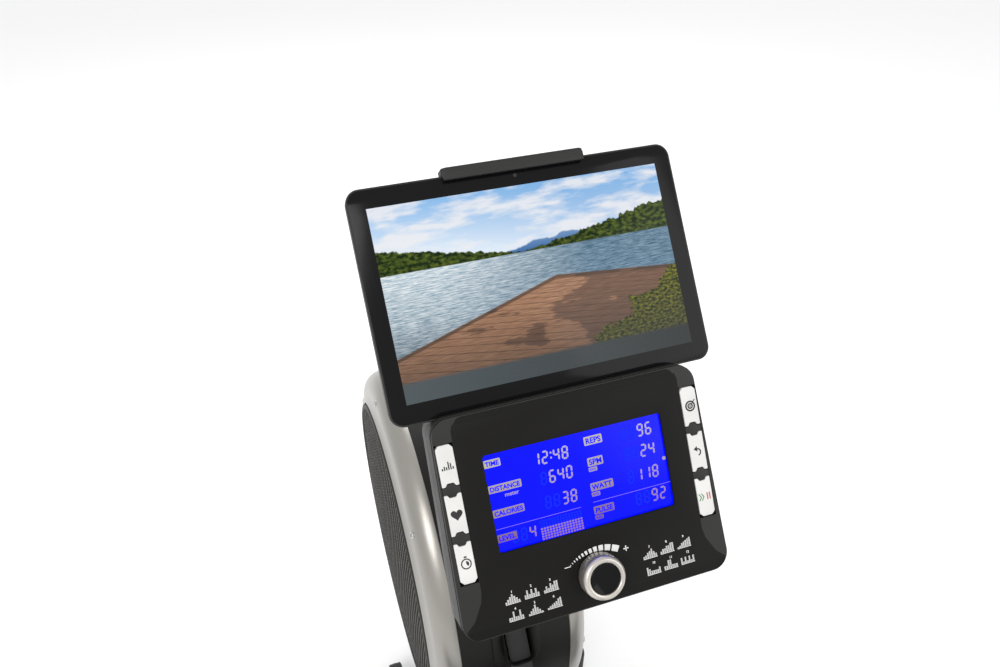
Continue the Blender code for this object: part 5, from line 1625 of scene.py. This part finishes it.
# ---- pedals
def pedals():
    look = {"tilt": 50.0, "x": 0.140, "treads": 9}
    tilt = radians(look["tilt"])
    up, out = Vector((0, cos(tilt), sin(tilt))), Vector((0, -sin(tilt), cos(tilt)))
    for side, word in ((-1, "left"), (1, "right")):
        treads, stitches, pads = [], [], []
        centre = Vector((side * look["x"], 0.445, 0.215))
        frame = panelFrame(centre, up, out)
        body = word + "_pedal"
        plan = arc((0, 0.085), 0.0550, 0, 180, 20) + arc((0, -0.105), 0.0500, 180, 360, 20)
        plate = flatShape(plan, 0.0200, 0.0316, (), 0.0022, 3)
        groove = cutAway(flatShape(arc((0, 0.085), 0.0490, 0, 180, 20) + arc((0, -0.105), 0.0440, 180, 360,
                                                                             20), 0.0306, 0.0400),
                         flatShape(arc((0, 0.085), 0.0474, 0, 180, 20) + arc((0, -0.105), 0.0424, 180, 360,
                                                                             20), 0.0200, 0.0500))
        plate = cutAway(plate, groove)
        boss = lathe([(-0.0490, 0.0115), (-0.0490, 0.0190), (-0.0480, 0.0200), (0.0480, 0.0200),
                      (0.0490, 0.0190),
                      (0.0490, 0.0115), (-0.0490, 0.0115)], 48)
        web = block((-0.040, -0.0139, 0.006), (0.040, 0.0139, 0.0225), 0.001)
        ribs = [block((a - 0.0015, -0.120, 0.0120), (a + 0.0015, 0.110, 0.0206),
                      0.0004) for a in (-0.036, 0.0, 0.036)]
        bore = lathe([(-0.2, 0.0), (-0.2, 0.0114), (0.2, 0.0114), (0.2, 0.0)], 40)
        lower = cutAway(merged([web]), bore)
        ribs = [cutAway(rib, bore.copy()) for rib in ribs]
        keep(word + "PlateSkin", merged([plate, boss, lower, *ribs]), "black", body, frame,
             [word + "_footplate"],
             35)
        for i in range(look["treads"]):
            y = 0.122 - 0.0245 * i
            half = 0.040 - 0.5 * max(0.0, abs(y) - 0.085)
            bar = flatShape([(-half, y - 0.0016), (0, y + 0.0048), (half, y - 0.0016), (half, y + 0.0020),
                             (0, y + 0.0084),
                             (-half, y + 0.0020)], 0.0313, 0.0324, bevel=0.0004)
            bar.transform(frame)
            treads.append(bar)
        keep(word + "Treads", merged(treads), "rubber", body, smooth=30)
        wall = arc((0, -0.105), 0.0460, 180, 360, 28)
        inner = arc((0, -0.105), 0.0405, 360, 180, 28)
        cup = [(-0.0460, -0.0700)] + wall + [(0.0460, -0.0700),
                                             (0.0405, -0.0700)] + inner + [(-0.0405, -0.0700)]
        heel = flatShape(cup, 0.0324, 0.0744, bevel=0.0018, segments=3)
        for vertex in heel.vertices:
            slope = min(1.0, max(0.0, (vertex.co.y + 0.130) / 0.060))
            if vertex.co.z > 0.05:
                vertex.co.z -= 0.022 * slope * slope
        holes = [lathe([(-0.2, 0.0), (-0.2, 0.0045), (0.2, 0.0045), (0.2, 0.0)], 20) for i in range(2)]
        for hole, y in zip(holes, (-0.092, -0.112)):
            hole.transform(Matrix.Translation((0, y, 0.044)))
        keep(word + "HeelSkin", cutAway(heel, *holes), "black", body, frame, [word + "_heel_cup"],
             35)
        arch = [(0.0500 * cos(radians(a)), 0.0324 + 0.0500 * 1.25 * sin(radians(a))) for a in range(0, 181,
                                                                                                    5)]
        outer = [(0.0524 * cos(radians(a)), 0.0324 + 0.0524 * 1.25 * sin(radians(a))) for a in range(180,
                                                                                                     -1, -5)]
        band = flatShape(arch + outer, -0.0410, 0.0010, bevel=0.0004, segments=2, angle=50)
        lap = [(0.0526 * cos(radians(a)), 0.0324 + 0.0526 * 1.25 * sin(radians(a))) for a in range(62, 125,
                                                                                                   5)]
        lap += [(0.0542 * cos(radians(a)), 0.0326 + 0.0542 * 1.25 * sin(radians(a))) for a in range(122, 61,
                                                                                                    -5)]
        flap = flatShape(lap, -0.0400, 0.0000, bevel=0.0005, segments=2, angle=50)
        stand = Matrix.Rotation(radians(90), 4, "X")
        for mesh in (band, flap):
            mesh.transform(stand)
        keep(word + "StrapSkin", merged([band, flap]), "strap", body, frame, [word + "_foot_strap"],
             40)
        for a in range(66, 120, 2):
            turn = radians(a)
            spot = Vector((0.0544 * cos(turn), 0, 0.0326 + 0.0544 * 1.25 * sin(turn)))
            normal = Vector((cos(turn), 0, sin(turn) / 1.25)).normalized()
            lengthwise = Vector((-sin(turn), 0, 1.25 * cos(turn))).normalized()
            for y in (0.0035, 0.0365):
                stitches.append((frame @ (spot + Vector((0, y, 0))), frame.to_3x3() @ normal,
                                 frame.to_3x3() @ lengthwise))
        keep(word + "StrapStitches", sewn(stitches, 0.0018, 0.00032), None, body, smooth=0)
        for sign in (-1, 1):
            anchor = block((sign * 0.0512 - 0.0030, -0.0035, 0.0200),
                           (sign * 0.0512 + 0.0030, 0.0435, 0.0340), 0.0012)
            anchor.transform(frame)
            pads.append(anchor)
        keep(word + "StrapAnchors", merged(pads), "black", body, smooth=30)
        nut = Vector((side * 0.2020, 0.445, 0.215))
        cap = lathe([(0.0, 0.0), (0.0, 0.0165), (0.0030, 0.0165), (0.0052, 0.0145), (0.0060, 0.0100),
                     (0.0060, 0.0)], 40)
        if side < 0:
            cap.transform(Matrix.Rotation(radians(180), 4, "Z"))
        cap.transform(Matrix.Translation(nut - Vector((side * 0.0014, 0, 0))))
        keep(word + "BarCap", cap, "rubber", "frame", smooth=30)


# ---- handle and pull strap
handleCentre = Vector((0, 0.478, 0.383))


def strapPath():
    # off the drum, over the guide roller and down to the handle: (y, z, radius of the strap's middle)
    lift = 0.0012
    drum, guide = (0.690, 0.500, 0.0434 + lift), (0.600, 0.510, 0.013 + lift)
    back = math.atan2(drum[1] - guide[1], drum[0] - guide[0])
    span = math.hypot(drum[0] - guide[0], drum[1] - guide[1])
    lean = math.degrees(back + math.acos((guide[2] - drum[2]) / span))
    grip = Vector((handleCentre.y, handleCentre.z))
    down = Vector(guide[:2]) - grip
    leave = math.degrees(math.atan2(-down.y, -down.x)) - math.degrees(math.acos(guide[2] / down.length))
    route = arc(drum[:2], drum[2], lean - 30, lean, 10)
    route += arc(guide[:2], guide[2], lean, leave + 360 if leave < lean else leave, 18)
    tip = grip + down.normalized() * 0.0345
    start = Vector(route[-1])
    route += [tuple(start.lerp(tip, i / 24)) for i in range(1, 25)]
    return route, start, tip


def handleParts():
    centre = handleCentre
    keep("barSkin", turnedAt([(-0.1938, 0.0), (-0.1938, 0.0115), (-0.1930, 0.0125), (0.1930, 0.0125),
                              (0.1938, 0.0115),
                              (0.1938, 0.0)], centre, 48), "paint", "handle", replaced=["handle_bar"],
         smooth=30)
    for side, word in ((-1, "left"), (1, "right")):
        profile = [(0.0755, 0.0129), (0.0752, 0.0160), (0.0765, 0.0172), (0.0785, 0.0175), (0.0800, 0.0168)]
        steps = 84
        for i in range(steps + 1):
            a = 0.0815 + 0.1080 * i / steps
            ridge = 0.00055 * (0.5 + 0.5 * cos(2 * pi * (a - 0.0815) / 0.0060))
            swell = 0.0009 * sin(pi * i / steps)
            profile.append((a, min(0.0175, 0.0160 + swell + ridge)))
        profile += [(0.1915, 0.0168), (0.1930, 0.0175), (0.1965, 0.0174), (0.1990, 0.0155), (0.1999, 0.0120),
                    (0.1999, 0.0), (0.1945, 0.0), (0.1945, 0.0129), (0.0755, 0.0129)]
        keep(word + "GripSkin", turnedAt([(side * a, r) for a, r in profile], centre, 40), "foam", "handle",
             replaced=[word + "_grip"], smooth=40)
    out = (Vector((0, 0.600, 0.510)) - centre).normalized()
    angle = math.atan2(out.z, out.y)
    frame = Matrix.Translation(centre) @ Matrix.Rotation(angle, 4, "X") @ alongX
    rim = arc((0, 0), 0.0168, 32, 328, 40)
    shape = flatShape(rim + [(0.0335, -0.0050), (0.0340, -0.0045), (0.0340, 0.0045), (0.0335, 0.0050)],
                      -0.0138, 0.0138,
                      [arc((0, 0), 0.0129, 355, 0, 40)], 0.0009, 3)
    keep("clipSkin", shape, "steel", "handle", frame, ["strap_clip"], 30)
    pins = []
    for x in (-0.0085, 0.0085):
        for sign in (-1, 1):
            pins.append((frame @ Vector((0.0265, sign * 0.0050, x)), frame.to_3x3() @ Vector((0, sign, 0))))
    keep("clipRivets", scattered(screwTree, screwHead(0.0030, 0.0012), pins), None, "handle",
         smooth=30)
    route, start, tip = strapPath()
    half, wide = 0.0007, 0.0118
    upper, lower = [], []
    for i, point in enumerate(route):
        ahead = Vector(route[min(i + 1, len(route) - 1)]) - Vector(route[max(i - 1, 0)])
        ahead.normalize()
        upper.append((point[0] - ahead.y * half, point[1] + ahead.x * half))
        lower.append((point[0] + ahead.y * half, point[1] - ahead.x * half))
    work = bmesh.new()
    rings = []
    for (a, b), (c, d) in zip(upper, lower):
        rings.append([work.verts.new(p) for p in ((-wide, a, b), (wide, a, b),
                                                  (wide + 0.0002, (a + c) / 2, (b + d) / 2),
                                                  (wide, c, d), (-wide, c, d), (-wide - 0.0002, (a + c) / 2,
                                                                                (b + d) / 2))])
    for first, second in zip(rings, rings[1:]):
        for k in range(6):
            work.faces.new((first[k], first[(k + 1) % 6], second[(k + 1) % 6], second[k]))
    work.faces.new(rings[0])
    work.faces.new(rings[-1])
    bmesh.ops.recalc_face_normals(work, faces=work.faces)
    mesh = bpy.data.meshes.new("pullStrap")
    work.to_mesh(mesh)
    work.free()
    strap = keep("pullStrapSkin", mesh, "strap", None, replaced=["pull_strap"], smooth=40)
    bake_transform(strap, "frame", "handle", start=(0, start.x, start.y), end=(0, tip.x, tip.y))
    refined("handle_cradle", "black", 0.0010, 3)


# ---- what is inside the housing, and small metal parts
def innerParts():
    dress("iron", "flywheel")
    dress("steel", "flywheel_axle", "guide_roller", "tilt_pin", "knob_shaft")
    dress("black", "drive_pulley", "strap_drum", "servo_motor")
    dress("iron", "magnet_bracket")
    dress("rubber", "drive_belt")
    refined("dc_inlet", "black", 0.0006, 2)
    low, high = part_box("dc_inlet")
    contact = lathe([(0.0, 0.0), (0.0, 0.0010), (0.0100, 0.0010), (0.0106, 0.0004), (0.0106, 0.0)], 16)
    contact.transform(Matrix.Translation(((low.x + high.x) / 2, low.y + 0.001, (low.z + high.z) / 2))
                      @ Matrix.Rotation(radians(90), 4, "Z"))
    keep("inletContact", contact, "steel", "frame", smooth=30)


finishes["vinyl"] = grained("seatVinyl", (0.018, 0.018, 0.019), 0.42, 0.58, 700, 0.0003, 0.4)
finishes["thread"] = grained("sewnThread", (0.050, 0.050, 0.052), 0.7, 0.85, 2600, 0.0001, 0.3)
threads = stitchTree()


studio()
housingShells()
housingVents()
housingBand()
housingScrews()
print("housing made")
consoleBody()
consoleKeys()
display()
faceSymbols()
selector()
print("console made")
tabletPieces()
print("tablet made")
frameParts()
railParts()
print("frame and rail made")
seatCushion()
seatCarriage()
print("seat made")
pedals()
handleParts()
innerParts()
print("pedals, handle and inner parts made")
